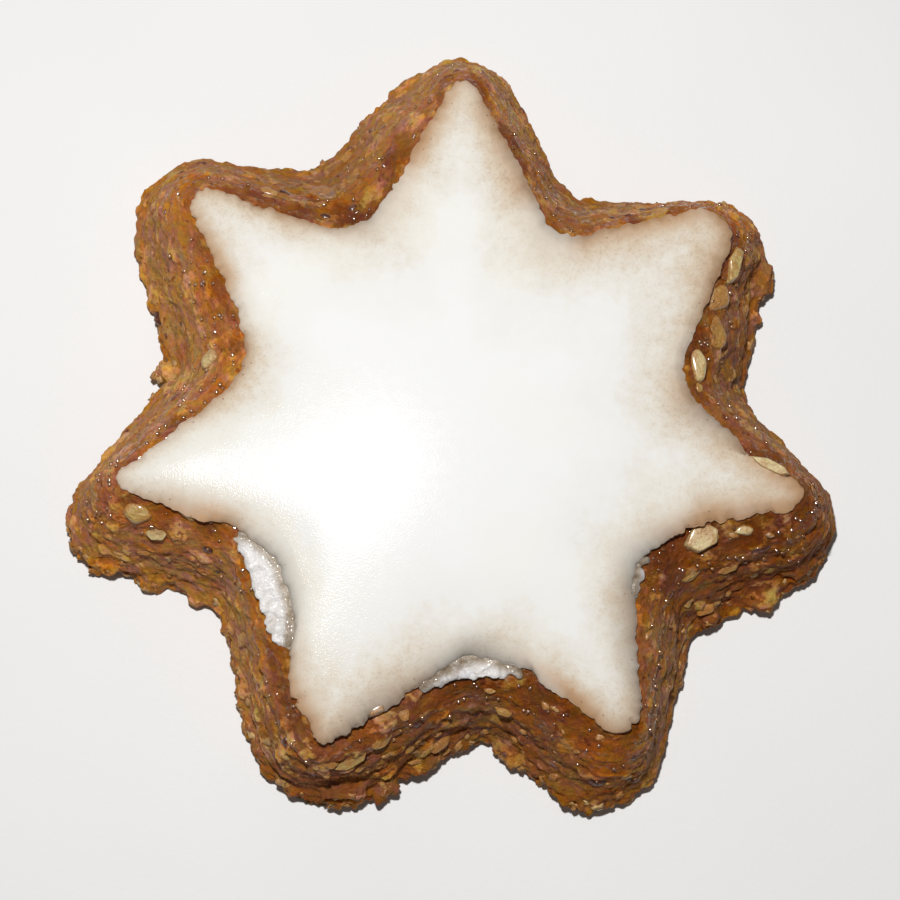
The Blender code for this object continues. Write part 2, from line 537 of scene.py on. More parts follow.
places, normals = places_of(dough_shape)
beyond_rim, _ = rim_distance(places)
level_part = np.hypot(normals[:, 0], normals[:, 1])
open_air = ease(-0.9, -0.3, beyond_rim)
on_side = np.where(normals[:, 2] > 0, open_air, ease(0.25, 0.7, level_part))
relief, marks = wall_relief(places)
push = normals * MOSTLY_LEVEL
push /= np.linalg.norm(push, axis=1, keepdims=True)
calmer_above = 1 - 0.5 * ease(0.4, 0.8, normals[:, 2])
shaped = places + push * (relief * on_side * calmer_above)[:, None]
edge_thickness = np.minimum(1, round_sum(bearings_of(places), THICK_EDGES))
near_rim = np.exp(-(((beyond_rim + 0.2) / 0.8) ** 2)) * (places[:, 2] > UPPER_DOUGH)
shaped[:, 2] += (RISE_AT_RIM - RECESS_AT_RIM * edge_thickness) * near_rim
print("wall relief from", round(float(relief.min()), 2), "to", round(float(relief.max()), 2), "mm")

# %% [markdown]
# ## Dough: the underside
# The underside was baked flat on the tray. It touches the tray nearly all over, with shallow pits and a few
# cracks between the nuts, which only ever go upwards. With the shape complete, every vertex is marked with
# what its material reads there, and the hidden face below the icing is thinned to save triangles.

# %% Underside
PIT_DEPTH = 0.35

under = ease(-0.6, -0.9, normals[:, 2]) * (places[:, 2] < 1.0)
pits = ease(0.05, 0.5, lumps(places, 2.2, seed=61.0)) + 0.6 * ease(0.1, 0.5, lumps(places, 0.8, seed=67.0))
shaped[:, 2] += PIT_DEPTH * (pits + 0.7 * marks["crack"]) * under
shaped[:, 2] = np.maximum(shaped[:, 2], 0)
move_to(dough_shape, shaped)
print("underside", round(float(under.mean()), 2), "of all vertices")

# %% Marks for the dough's material
GLOW_HEIGHT = 6.6
GLOW_SPREAD = 1.7
SOAKED_PATCH_SIZE = np.array((1.6, 1.6, 0.6))


def soaked(places):
    """How much syrup is in the wall at each place: dry below 0, and dark with it at 1."""
    soak = 0.85 * ease(6.0, 8.7, places[:, 2]) - 0.12
    soak += round_sum(bearings_of(places), SOAKED)
    return soak + 0.5 * lumps(places, 2.4, seed=81.0) + 0.32 * lumps(places, SOAKED_PATCH_SIZE, seed=87.0)


marks["relief"] = relief * on_side
marks["soak"] = soaked(places)
glow = round_sum(bearings_of(places), GLOWING)
marks["glow"] = glow * np.exp(-(((places[:, 2] - GLOW_HEIGHT) / GLOW_SPREAD) ** 2))
marks["foot"] = ease(3.0, 0.8, shaped[:, 2] + 0.9 * lumps(places, 1.3, seed=91.0))
# Browned and shaded: partly real browning, partly painted shade on the sides turned from the lamp.
marks["browned_and_shaded"] = round_sum(bearings_of(places), BROWNED_AND_SHADED)
for name, values in marks.items():
    mark(dough_shape, name, values)
print("marks:", ", ".join(marks))

# %% Thinning what can't be seen
WELL_INSIDE_RIM = -2.6
UNDER_PLAINNESS = 0.35
HIDDEN_SHARE = 0.1

under_icing = (normals[:, 2] > 0.5) & (beyond_rim < WELL_INSIDE_RIM)
plainness = np.where(under_icing, 1.0, np.where(under > 0.5, UNDER_PLAINNESS, 0.0))
kept_share = float((plainness == 0).mean())
dough_shape = thinned(dough_shape, plainness, kept_share + HIDDEN_SHARE * (1 - kept_share))
lift_off_floor(dough_shape)
dough_wall = BVHTree.FromBMesh(dough_shape)
print("dough keeps", round(kept_share, 2), "of its net at full fineness,", len(dough_shape.verts), "vertices")

# %% [markdown]
# ## Icing: how liquid sugar settles
# The icing was brushed on as a thick liquid. It stood highest in the middle, fell away towards every rim,
# and lay thinnest in the narrow tips, while at the inward corners it kept a thick round edge. A stretched
# skin pinned at the rim and pushed up from below takes just that form, so its height is worked out once on
# a grid, by letting every cell settle to the mean of its neighbours, and read back at every vertex.

# %% Settling
SETTLING_ROUNDS = 3500


def settled(inside, cell, stiffness=0.0):
    """The heights of a skin pinned outside the star and pushed up evenly from below, from 0 to 1.

    With a stiffness, each place is also held down in step with its own height. The skin then runs level
    in the middle and bends down only near the rim, over about 1 / stiffness.
    """
    height = inside.copy()
    for _ in range(SETTLING_ROUNDS):
        around = sum(np.roll(height, step, axis) for axis in (0, 1) for step in (1, -1))
        height = inside * (around + cell * cell) / (4 + (stiffness * cell) ** 2)
    return height / height.max()


# %% Settled icing
GRID_CELL = 0.5
GRID_REACH = 32.0
EDGE_STIFFNESS = 1.1


def read_grid(grid, places):
    """The grid's value at each place, blended between its four nearest cells."""
    steps = np.clip((places[:, :2] + GRID_REACH) / GRID_CELL, 0, len(grid) - 1.001)
    low = steps.astype(int)
    share = steps - low
    column, row = low[:, 0], low[:, 1]
    lower = grid[row, column] * (1 - share[:, 0]) + grid[row, column + 1] * share[:, 0]
    upper = grid[row + 1, column] * (1 - share[:, 0]) + grid[row + 1, column + 1] * share[:, 0]
    return lower * (1 - share[:, 1]) + upper * share[:, 1]


ticks = np.arange(-GRID_REACH, GRID_REACH + GRID_CELL / 2, GRID_CELL)
columns, rows = np.meshgrid(ticks, ticks)
grid_places = np.stack((columns.ravel(), rows.ravel(), np.zeros(columns.size)), axis=1)
beyond_rim, _ = rim_distance(grid_places)
inside_star = np.clip(0.5 - beyond_rim / GRID_CELL, 0, 1).reshape(columns.shape)
dome = settled(inside_star, GRID_CELL)
level_fill = settled(inside_star, GRID_CELL, EDGE_STIFFNESS)
print("icing grid", dome.shape, "filled", round(float(inside_star.mean()), 2))

# %% [markdown]
# ## Icing: a star of rings
# The cap starts as the rim line alone. It is extruded inwards ring by ring, close together at the rim where
# the surface bends most, and once more downwards for the edge and the hidden underside. A voxel skin would
# be quicker, but on such a flat dome its steps show as ripples in the gloss.

# %% Icing rings
RIM_POINTS = 900
FIRST_STEP = 0.0026
STEP_GROWTH = 0.13
RING_SHARES = [1 - FIRST_STEP * k * (1 + STEP_GROWTH * k) for k in range(1, 13)]
INNER_RINGS = 40


def rim_loop(count):
    """The rim as a closed loop of evenly spaced vertices, in order of bearing."""
    order = np.argsort(np.mod(bearings_of(rim_places), 360))
    line = rim_places[order]
    lengths = np.concatenate(((0,), np.cumsum(np.linalg.norm(np.diff(line[:, :2], axis=0), axis=1))))
    wanted = np.linspace(0, lengths[-1], count, endpoint=False)
    x = np.interp(wanted, lengths, line[:, 0])
    y = np.interp(wanted, lengths, line[:, 1])
    shape = bmesh.new()
    verts = [shape.verts.new((x[i], y[i], RIM_HEIGHT)) for i in range(count)]
    for vert, following in zip(verts, verts[1:] + verts[:1]):
        shape.edges.new((vert, following))
    return shape


def drawn_ring(shape, edges, scale, rise=0.0):
    """Extrudes a ring of edges, scales the new ring about the middle and lifts it."""
    grown = bmesh.ops.extrude_edge_only(shape, edges=edges)["geom"]
    verts = [part for part in grown if isinstance(part, bmesh.types.BMVert)]
    bmesh.ops.scale(shape, vec=(scale, scale, 1), verts=verts)
    bmesh.ops.translate(shape, vec=(0, 0, rise), verts=verts)
    return [part for part in grown if isinstance(part, bmesh.types.BMEdge)]


# %% Icing cap
UNDER_HEIGHT = 8.25
# The edge under the rim: three rings, each with its size against the last one and its step down.
EDGE_RINGS = (
    (0.997, 0.18),
    (0.985, 0.2),
    (0.9, RIM_HEIGHT - UNDER_HEIGHT - 0.38),
)

icing_shape = rim_loop(RIM_POINTS)
rim_edges = icing_shape.edges[:]
shares = RING_SHARES + [RING_SHARES[-1] * (1 - k / INNER_RINGS) for k in range(1, INNER_RINGS)]
ring = rim_edges
for outer_share, share in zip([1.0] + shares, shares):
    ring = drawn_ring(icing_shape, ring, share / outer_share)
bmesh.ops.edgeloop_fill(icing_shape, edges=ring)
top_count = len(icing_shape.verts)
ring = rim_edges
for scale, drop in EDGE_RINGS:
    ring = drawn_ring(icing_shape, ring, scale, -drop)
bmesh.ops.edgeloop_fill(icing_shape, edges=ring)
bmesh.ops.recalc_face_normals(icing_shape, faces=icing_shape.faces)
bmesh.ops.triangulate(icing_shape, faces=[face for face in icing_shape.faces if len(face.verts) > 4])
print("icing", len(shares), "rings,", len(icing_shape.verts), "vertices")

# %% [markdown]
# ## Icing: the rim
# The rim is not a clean cut. It wobbles by a fraction of a millimetre, is nibbled where it was thin, and in
# three inward corners the smooth skin has drawn back and left rough dried foam behind. Bites could be cut
# out as solids, but that leaves sharp corners. Here each vertex knows its distance to the rim and the way
# out over it, so the whole rim is pushed in or out and stays soft.

# %% Where the rim moved
# Where the skin drew back: middle bearing, half width in degrees and how far, in mm. Below 0 it ran over.
DRAWN_BACK = (
    (222, 9, 1.9), (231, 5, 1), (273, 9, 1), (318, 5, 0.5),
    (297, 4, -0.4), (209, 3, 0.25), (198, 5, -0.3), (188.5, 4, 0.35),
    (241.5, 3.5, -0.5), (330, 8, -0.3), (30, 7, -0.25), (75, 7, -0.3),
    (92, 6, -0.15), (143, 11, -0.25),
)
# Where a narrow bite is missing or, below 0, a tongue ran out: bearing, half width and how deep, in mm.
BITTEN = (
    (352, 1.5, 0.7), (203.5, 3.5, -0.8), (347, 2, -0.3), (284, 1.6, 0.5),
    (150, 2, 0.15),
)
# Where it is nibbled: middle bearing, half width and how deep, in mm.
NIBBLED = (
    (296, 5, 0.42), (352, 5, 0.25), (138, 4, 0.15), (92, 4, 0.2),
    (41, 5, 0.2), (242, 5, 0.38), (196, 7, 0.15), (148, 9, 0.12),
    (338, 9, 0.2), (255, 6, 0.25),
)
print("drawn back most at", max(DRAWN_BACK, key=lambda stretch: stretch[2])[0], "degrees")

# %% Where the rim took on colour, and where the icing is painted shaded or lit
# Where dough syrup stained it: middle bearing, half width in degrees, amount.
STAINED = (
    (289, 6, 1.2), (333, 9, 0.6), (203.5, 5, 1), (149, 6, 0.6),
    (40, 7, 0.4), (243, 5, 0.6), (98, 9, 0.4), (345, 6, 0.3),
)
# Painted shade on the icing by bearing, and below 0 painted light: middle bearing, half width, amount.
PAINTED_ICING_SHADE = (
    (60, 16, 0.22), (77, 7, 0.12), (3, 13, 0.15), (340, 11, 0.12),
    (317, 9, 0.12), (287, 8, 0.08), (255, 10, 0.12), (105, 9, 0.12),
    (122, 8, 0.06), (32, 9, 0.12), (152, 11, -0.18), (193, 9, -0.12),
)
print("icing shaded most at", max(PAINTED_ICING_SHADE, key=lambda stretch: stretch[2])[0], "degrees")

# %% Icing thickness
ICING_RISE = 0.74
FILL_POWER = 0.7
DOME_RISE = 0.74
DOME_POWER = 1.4
ROUND_EDGE = 1.9
LOW_EDGE = 0.45
EDGE_BAND = 0.8
SWELL = 0.05


def swell(places):
    """A very soft unevenness, from -1 to 1, made of waves so that the gloss shows no creases."""
    x, y = places[:, 0], places[:, 1]
    crossed = np.sin(x / 4.1 + 1.0) * np.cos(y / 5.3)
    return (crossed + np.sin((x + y) / 6.7 + 2.0) + np.cos((x - 2 * y) / 9.0)) / 3


places, _ = places_of(icing_shape)
beyond_rim, way_out = rim_distance(places)
from_rim = np.abs(beyond_rim)
bearings = bearings_of(places)
pulled_in = places - way_out * np.maximum(0, EDGE_BAND - from_rim)[:, None]
edge_thickness = np.minimum(1, round_sum(bearings, THICK_EDGES)) * ease(6.0, 1.5, from_rim)
within_band = np.minimum(1, from_rim / EDGE_BAND)
domed = np.maximum(0, read_grid(dome, pulled_in) * within_band) ** DOME_POWER
filled = np.maximum(0, read_grid(level_fill, pulled_in) * within_band) ** FILL_POWER
round_edge = np.sqrt(1 - (1 - np.minimum(1, from_rim / ROUND_EDGE)) ** 2)
is_top = np.arange(len(places)) < top_count
thin_or_thick = (1 - edge_thickness) * filled + edge_thickness * round_edge
thickness = is_top * (ICING_RISE * thin_or_thick + DOME_RISE * domed)
sagged = LOW_EDGE * edge_thickness * (is_top * round_edge - 1) * ease(ROUND_EDGE + 2, ROUND_EDGE, from_rim)

shaped = places.copy()
shaped[:, 2] += thickness + sagged + is_top * SWELL * swell(places) * ease(0, 2, from_rim)
print("icing up to", round(float(thickness.max()), 2), "mm thick over its rim")

# %% Rim shape
WOBBLE_REACH = 0.8
BITE_REACH = 1.4
SKIN_REACH = 4.0

at_rim = places + way_out * from_rim[:, None]
at_rim[:, 2] = 0
wobble = 0.16 * lumps(at_rim, 2.4, seed=12.0) + 0.22 * lumps(at_rim, 0.8, seed=17.0)
wobble += 0.17 * lumps(at_rim, 0.4, seed=19.0)
nibble = round_sum(bearings, NIBBLED) * ease(0.0, 0.35, lumps(at_rim, 0.5, seed=23.0))
shift = wobble * np.exp(-from_rim / WOBBLE_REACH)
shift -= (nibble + round_sum(bearings, BITTEN)) * np.exp(-from_rim / BITE_REACH)
shift -= round_sum(bearings, DRAWN_BACK) * np.exp(-from_rim / SKIN_REACH) * ease(7.0, 3.0, from_rim)
shaped += way_out * shift[:, None]
move_to(icing_shape, shaped)
mark(icing_shape, "from_rim", np.where(is_top, from_rim, 0))
# How far the icing hides the dough's brown, from about 0 at the rim to 1.4 in the middle, less where painted
# shade darkens it and more where painted light brightens it.
cover = 0.15 * thickness + 0.85 * (0.04 + 0.39 * np.sqrt(from_rim)) - round_sum(bearings, PAINTED_ICING_SHADE)
mark(icing_shape, "cover", cover)
# The thick edge also drives painted shade in the icing's colour.
mark(icing_shape, "thick_edge", edge_thickness)
mark(icing_shape, "stained", round_sum(bearings, STAINED))
print("icing top at", round(float(shaped[:, 2].max()), 2), "mm")

# %% [markdown]
# ## Dried foam at the inward corners
# Where the smooth skin drew back, the icing below it dried as rough white foam. It is a crowd of small
# flattened balls strewn along the rim, melted into one crust by the voxel skin and then pitted by noise.
# Subdividing and displacing a strip would be lighter, but it would look like cloth, not like foam.

# %% Foam crust
# Bearing from and to, how far inside and outside the rim it reaches, in mm, and the number of lumps.
FOAM_STRETCHES = (
    (211, 235, -2.5, 0.1, 330),
    (263, 283, -1.3, 0.25, 150),
    (313, 321, -0.6, 0.0, 26),
)
# Where the foam stayed pure white: middle bearing, half width, amount.
PURE_FOAM = (
    (222, 11, 1), (276.5, 5, 0.8),
)
FOAM_HEIGHT = 8.7
FOAM_VOXEL = 0.12
foam_rng = random.Random(7)


def rim_between(first, last):
    """The numbers of the rim's places whose bearing lies between first and last."""
    bearings = np.mod(bearings_of(rim_places), 360)
    return np.flatnonzero((bearings > first) & (bearings < last)).tolist()


foam_shape = bmesh.new()
for first, last, inner, outer, count in FOAM_STRETCHES:
    numbers = rim_between(first, last)
    for _ in range(count):
        chosen = foam_rng.choice(numbers)
        bearing = math.degrees(math.atan2(rim_places[chosen][1], rim_places[chosen][0])) % 360
        ends = min(1.0, 4 * min(bearing - first, last - bearing) / (last - first) + 0.25)
        offset = inner + (outer - inner) * foam_rng.random()
        radius = foam_rng.uniform(0.3, 0.55) * (0.55 + 0.45 * ends)
        middle = Vector(rim_places[chosen]) + Vector(rim_ways_out[chosen]) * offset * ends
        middle.z = FOAM_HEIGHT + foam_rng.uniform(-0.2, 0.1) - 0.25 * max(0.0, offset)
        flattened = Matrix.Diagonal((radius, radius, radius * foam_rng.uniform(0.26, 0.4), 1))
        lump = Matrix.Translation(middle) @ flattened
        bmesh.ops.create_icosphere(foam_shape, subdivisions=2, radius=1, matrix=lump)
foam_shape = voxel_skin(foam_shape, FOAM_VOXEL)
print("foam", len(foam_shape.verts), "vertices")

# %% Foam pits
PIT_IN_FOAM = 0.11

places, normals = places_of(foam_shape)
pits = ease(0.4, 0.6, lumps(places, 0.7, seed=71.0))
roughness = 0.06 * lumps(places, 1.0, seed=74.0) + 0.012 * lumps(places, 0.3, seed=77.0) - PIT_IN_FOAM * pits
move_to(foam_shape, places + normals * roughness[:, None])
mark(foam_shape, "pit", pits)
beyond_rim, _ = rim_distance(places)
from_edge = beyond_rim + round_sum(bearings_of(places), DRAWN_BACK)
# Painted shade on the foam where it lies under the icing's lip.
mark(foam_shape, "under_rim_shade", ease(0.9, 0.1, from_edge))
mark(foam_shape, "pure", round_sum(bearings_of(places), PURE_FOAM))
print("pits cover", round(float(pits.mean()), 2), "of the foam")

# %% [markdown]
# ## Small things stamped on the wall
# Nut pieces, dark skins, drops of syrup and loose crumbs are each a handful of stock meshes, stamped many
# times into one joined piece per kind. A particle system would scatter them faster, but joined meshes keep
# the same place on every run and in every program. Each stamp stores a tone for its material to read.

# %% Stamps
def stamp(shape, stock, matrix, tone):
    """Adds a copy of a stock mesh to the shape, moved by the matrix and marked with a tone."""
    layer = shape.verts.layers.float.get("tone") or shape.verts.layers.float.new("tone")
    known = len(shape.verts)
    shape.from_mesh(stock)
    shape.verts.ensure_lookup_table()
    added = shape.verts[known:]
    bmesh.ops.transform(shape, matrix=matrix, verts=added)
    for vert in added:
        vert[layer] = tone


def stock_mesh(name, shape):
    mesh = bpy.data.meshes.new(name)
    shape.to_mesh(mesh)
    shape.free()
    return mesh


# %% Stock meshes
def cut_nut(seed, softness):
    """A piece of cut nut, about 1 by 1 by 1: an uneven prism with a smaller, shifted top and soft edges."""
    rng = random.Random(seed)
    corners = rng.choice((4, 5, 5, 6))
    turns = [math.tau * (i + rng.uniform(-0.3, 0.3)) / corners for i in range(corners)]
    reaches = [rng.uniform(0.42, 0.62) for _ in turns]
    top_share = rng.uniform(0.6, 0.85)
    top_shift = Vector((rng.uniform(-0.08, 0.08), rng.uniform(-0.08, 0.08), 0))
    shape = bmesh.new()
    for height, share, moved in ((-0.5, 1.0, Vector()), (0.5, top_share, top_shift)):
        for turn, reach in zip(turns, reaches):
            corner = Vector((share * reach * math.cos(turn), share * reach * math.sin(turn), height))
            shape.verts.new(corner + moved)
    bmesh.ops.convex_hull(shape, input=shape.verts)
    bmesh.ops.dissolve_limit(shape, angle_limit=math.radians(5), verts=shape.verts, edges=shape.edges)
    bmesh.ops.bevel(shape, geom=shape.edges[:], offset=softness, affect="EDGES", segments=3, profile=0.5,
                    material=-1, clamp_overlap=True)
    return stock_mesh("cut_nut", shape)


def pebble(seed, unevenness):
    """A rounded crumb, 1 by 1 by 1: a ball with lumps of noise."""
    shape = bmesh.new()
    bmesh.ops.create_icosphere(shape, subdivisions=2, radius=0.5)
    for vert in shape.verts:
        vert.co *= 1 + unevenness * noise.noise(vert.co * 2.6 + Vector((seed, seed, seed)))
    return stock_mesh("pebble", shape)


CHIP_SOFTNESS = (0.05, 0.12, 0.17, 0.16, 0.13, 0.08, 0.16, 0.11, 0.14)
NUT_CHIPS = [cut_nut(seed, softness) for seed, softness in enumerate(CHIP_SOFTNESS)]
NUT_PEBBLES = [pebble(seed, 0.5) for seed in range(4)]
CRUMBS = [pebble(seed, 1.1) for seed in range(5)]
DROPS = [pebble(seed, 0.25) for seed in range(3)]
print(len(NUT_CHIPS), "cut nuts with", [len(chip.polygons) for chip in NUT_CHIPS], "faces")


# %% Places for stamps
def on_dough(bearing, height, tilt=0.0):
    """The place on the shaped dough here, and a direction from the wall's own (0) towards straight up (1)."""
    _, smooth_normal = on_wall(smooth_wall, bearing, height)
    place, _ = on_wall(dough_wall, bearing, height)
    return place, (smooth_normal * (1 - tilt) + UP * tilt).normalized()


def sunk_matrix(place, normal, lean, length, width, thickness, proud):
    """Where a stock mesh goes so that it lies in the wall with only its face standing proud."""
    middle = place + normal * (proud - thickness / 2)
    return facing(middle, normal, lean) @ Matrix.Diagonal((length, width, thickness, 1))


print("a stamp at 0 degrees, 3 mm up, goes to", [round(c, 1) for c in on_dough(0, 3)[0]])

# %% Nut pieces
# Bearing, height, length along the wall, width up it, thickness, how proud, tilt up, lean in degrees and
# tone (0 cream, 1 tan, 2 grey, 3 blue grey).
NUTS = (
    (332.3, 8.00, 3.2, 2.5, 1.5, 0.50, 0.75, 12, 0.00),
    (336.8, 8.10, 2.1, 1.1, 0.9, 0.35, 0.70, -4, 0.10),
    (337.9, 7.80, 1.1, 0.8, 0.6, 0.25, 0.60, 0, 2.00),
    (10.4, 8.25, 3.3, 2.0, 1.3, 0.45, 0.60, 4, 0.15),
    (5.2, 8.25, 1.2, 0.9, 0.7, 0.25, 0.60, 4, 0.75),
    (28.8, 7.80, 4.2, 1.7, 1.3, 0.45, 0.50, 8, 0.35),
    (22.8, 7.90, 4.4, 2.8, 1.3, 0.26, 0.50, -6, 0.70),
    (16.6, 7.70, 4.8, 2.8, 1.2, 0.18, 0.45, 8, 0.95),
    (198.8, 7.75, 3.2, 2.2, 1.2, 0.45, 0.60, 5, 0.70),
    (202.9, 6.70, 1.9, 1.3, 0.8, 0.30, 0.50, 10, 0.15),
    (202.6, 8.45, 1.7, 1.0, 0.8, 0.30, 0.70, 0, 0.90),
    (167.3, 6.90, 2.6, 2.4, 1.1, 0.35, 0.45, 0, 0.15),
    (130.3, 7.40, 1.9, 1.1, 0.7, 0.18, 0.40, -10, 0.50),
    (120.5, 6.20, 3.4, 2.2, 0.9, 0.30, 0.50, -6, 3.00),
    (227.2, 4.60, 1.4, 2.4, 0.7, 0.15, 0.20, 8, 0.80),
    (240.5, 4.10, 1.3, 2.8, 0.8, 0.18, 0.20, -8, 0.90),
    (260.2, 8.00, 2.2, 1.6, 0.9, 0.12, 0.50, 20, 1.10),
    (257.5, 6.90, 2.8, 1.6, 0.9, 0.14, 0.40, 10, 0.70),
    (253.6, 6.40, 3.2, 1.5, 1.0, 0.16, 0.40, 6, 0.50),
    (250.1, 6.90, 2.4, 1.4, 0.9, 0.12, 0.40, -4, 1.15),
    (252.2, 8.50, 2.4, 1.3, 1.0, 0.30, 0.80, 14, 1.25),
    (267.6, 2.80, 2.4, 1.5, 0.9, 0.20, 0.35, 14, 1.15),
    (276.6, 7.50, 1.4, 0.7, 0.6, 0.20, 0.50, 0, 0.75),
    (279.2, 6.10, 1.8, 0.9, 0.6, 0.20, 0.40, 5, 0.80),
    (286.1, 8.00, 1.5, 0.8, 0.7, 0.12, 0.55, -5, 1.10),
    (293.1, 8.10, 1.3, 0.8, 0.6, 0.12, 0.55, 10, 1.15),
    (324.8, 6.00, 2.6, 1.0, 0.7, 0.25, 0.40, 14, 0.60),
    (330.5, 5.70, 2.0, 0.9, 0.7, 0.20, 0.40, 6, 0.75),
    (323.0, 2.60, 2.2, 1.5, 1.2, 0.50, 0.50, 10, 1.20),
)
# Slivers caught in the icing's rim: bearing, reach, height, length, width, thickness, lean and tone.
GLAZE_SLIVERS = (
    (349.2, 24.6, 9.45, 3.4, 1.0, 0.6, -26, 0.05),
    (255.4, 24.3, 9.05, 1.8, 0.9, 0.5, 35, 1.70),
)
SMALL_NUTS = 120
nut_rng = random.Random(23)

nut_shape = bmesh.new()
for i, (bearing, height, length, width, thickness, proud, tilt, lean, tone) in enumerate(NUTS):
    place, normal = on_dough(bearing, height, tilt)
    matrix = sunk_matrix(place, normal, lean, length, width, thickness, proud)
    stamp(nut_shape, NUT_CHIPS[i % len(NUT_CHIPS)], matrix, tone)
for i, (bearing, reach, height, length, width, thickness, lean, tone) in enumerate(GLAZE_SLIVERS):
    angle = math.radians(bearing)
    place = Vector((reach * math.cos(angle), reach * math.sin(angle), height))
    turned = Matrix.Translation(place) @ Matrix.Rotation(math.radians(lean), 4, "Z")
    stamp(nut_shape, NUT_CHIPS[i], turned @ Matrix.Diagonal((length, width, thickness, 1)), tone)
for _ in range(SMALL_NUTS):
    bearing = nut_rng.uniform(0, 360)
    height = nut_rng.uniform(1.2, 8.2)
    place, normal = on_dough(bearing, height, nut_rng.uniform(0.1, 0.4))
    length = nut_rng.uniform(0.6, 1.7)
    width = length * nut_rng.uniform(0.35, 0.7)
    proud = nut_rng.uniform(0.04, 0.14)
    matrix = sunk_matrix(place, normal, nut_rng.gauss(0, 12), length, width, 0.6 * width + 0.2, proud)
    stamp(nut_shape, nut_rng.choice(NUT_CHIPS), matrix, nut_rng.uniform(0.5, 1.2))
lift_off_floor(nut_shape)
print("nuts", len(nut_shape.verts), "vertices")

# %% Soaked edges of the nuts
SOAKED_EDGE = 0.3

heights_over_dough = []
for vert in nut_shape.verts:
    nearest, normal, _, _ = dough_wall.find_nearest(vert.co)
    heights_over_dough.append((vert.co - nearest).dot(normal))
sunk = ease(SOAKED_EDGE, 0.0, np.array(heights_over_dough))
mark(nut_shape, "sunk", sunk)
print("share of the nuts that is soaked", round(float(sunk.mean()), 2))

# %% Dark skins
# Bearing and height, then length along the wall and width up it in mm, and lean in degrees.
SKINS = (
    (160.2, 1.6, 1.3, 1.0, 30),
    (209.7, 7.0, 1.4, 0.8, 5),
    (262.9, 6.8, 1.1, 0.9, 0),
    (290.9, 4.2, 1.6, 0.9, 8),
    (335.7, 7.2, 1.8, 0.6, 6),
    (25.1, 1.1, 1.2, 0.9, 0),
    (127.7, 6.9, 1.5, 0.5, -12),
    (124.0, 8.1, 1.3, 0.5, -8),
    (117.0, 8.0, 1.2, 0.5, 5),
    (297.0, 6.4, 1.0, 0.6, 0),
    (243.0, 6.6, 0.9, 0.7, 0),
    (48.0, 6.8, 1.1, 0.5, 0),
)
SKIN_THICKNESS = 0.4
SKIN_PROUD = 0.1
SMALL_SKINS = 75
skin_rng = random.Random(31)

skin_shape = bmesh.new()
for bearing, height, length, width, lean in SKINS:
    place, normal = on_dough(bearing, height, 0.3)
    matrix = sunk_matrix(place, normal, lean, length, width, SKIN_THICKNESS, SKIN_PROUD)
    stamp(skin_shape, NUT_PEBBLES[1], matrix, 0.0)
for _ in range(SMALL_SKINS):
    place, normal = on_dough(skin_rng.uniform(0, 360), skin_rng.uniform(0.8, 8.3), 0.2)
    length = skin_rng.uniform(0.35, 1.0)
    width = length * skin_rng.uniform(0.3, 0.7)
    matrix = sunk_matrix(place, normal, skin_rng.gauss(0, 15), length, width, 0.3, 0.06)
    stamp(skin_shape, skin_rng.choice(NUT_PEBBLES), matrix, skin_rng.random())
lift_off_floor(skin_shape)
print("skins", len(skin_shape.verts), "vertices")

# %% Syrup drops
DROP_COUNT = 340
DROP_FLATNESS = 0.38
DROP_PROUD = 0.3
# Where syrup oozed most: middle bearing, half width, amount.
OOZED = (
    (325, 12, 1), (340, 8, 0.7), (163, 12, 0.9), (118, 6, 0.7),
    (190, 12, 0.6), (15, 12, 0.5), (285, 12, 0.4),
)
drop_rng = random.Random(47)

drop_shape = bmesh.new()
stamped = 0
while stamped < DROP_COUNT:
    bearing = drop_rng.uniform(0, 360)
    if drop_rng.random() > 0.25 + float(round_sum(np.array([bearing]), OOZED)[0]):
        continue
    height = 8.6 - abs(drop_rng.gauss(0, 1.7))
    place, normal = on_dough(bearing, height)
    size = drop_rng.uniform(0.16, 0.36)
    level = (UP + Vector((drop_rng.gauss(0, 0.07), drop_rng.gauss(0, 0.07), 0))).normalized()
    flattened = Matrix.Diagonal((size, size, DROP_FLATNESS * size, 1))
    matrix = facing(place + normal * DROP_PROUD * size, level) @ flattened
    here = np.array([place])
    # Drops are darker where the wall is soaked, and where it is browned and painted shaded.
    depth = soaked(here)[0] + 0.5 * round_sum(bearings_of(here), BROWNED_AND_SHADED)[0]
    stamp(drop_shape, drop_rng.choice(DROPS), matrix, float(np.clip(0.2 + 0.5 * depth, 0, 1)))
    stamped += 1
lift_off_floor(drop_shape)
print("drops", len(drop_shape.verts), "vertices")

# %% Foot crumbs
CRUMB_COUNT = 170
crumb_rng = random.Random(59)

crumb_shape = bmesh.new()
stamped = 0
while stamped < CRUMB_COUNT:
    bearing = crumb_rng.uniform(0, 360)
    torn = float(round_sum(np.array([bearing]), TORN)[0])
    if crumb_rng.random() > 0.03 + torn:
        continue
    height = 0.25 + abs(crumb_rng.gauss(0, 1.1))
    place, normal = on_dough(bearing, height)
    size = crumb_rng.uniform(0.3, 0.75)
    place.z = max(place.z, 0.35 * size)
    matrix = sunk_matrix(place, normal, crumb_rng.uniform(-40, 40), size * 1.5, size, size, size * 0.25)
    stamp(crumb_shape, crumb_rng.choice(CRUMBS), matrix, crumb_rng.random())
    stamped += 1
lift_off_floor(crumb_shape)
print("crumbs", len(crumb_shape.verts), "vertices")

# %% [markdown]
# ## Mixing materials
# Every material reads its place on the biscuit in millimetres, from Object coordinates, so that a grain of
# 0.3 is a third of a millimetre everywhere. These helpers only shorten the making of nodes. What several
# materials share, an even or flattened noise, small round specks and a film of syrup, becomes a group.

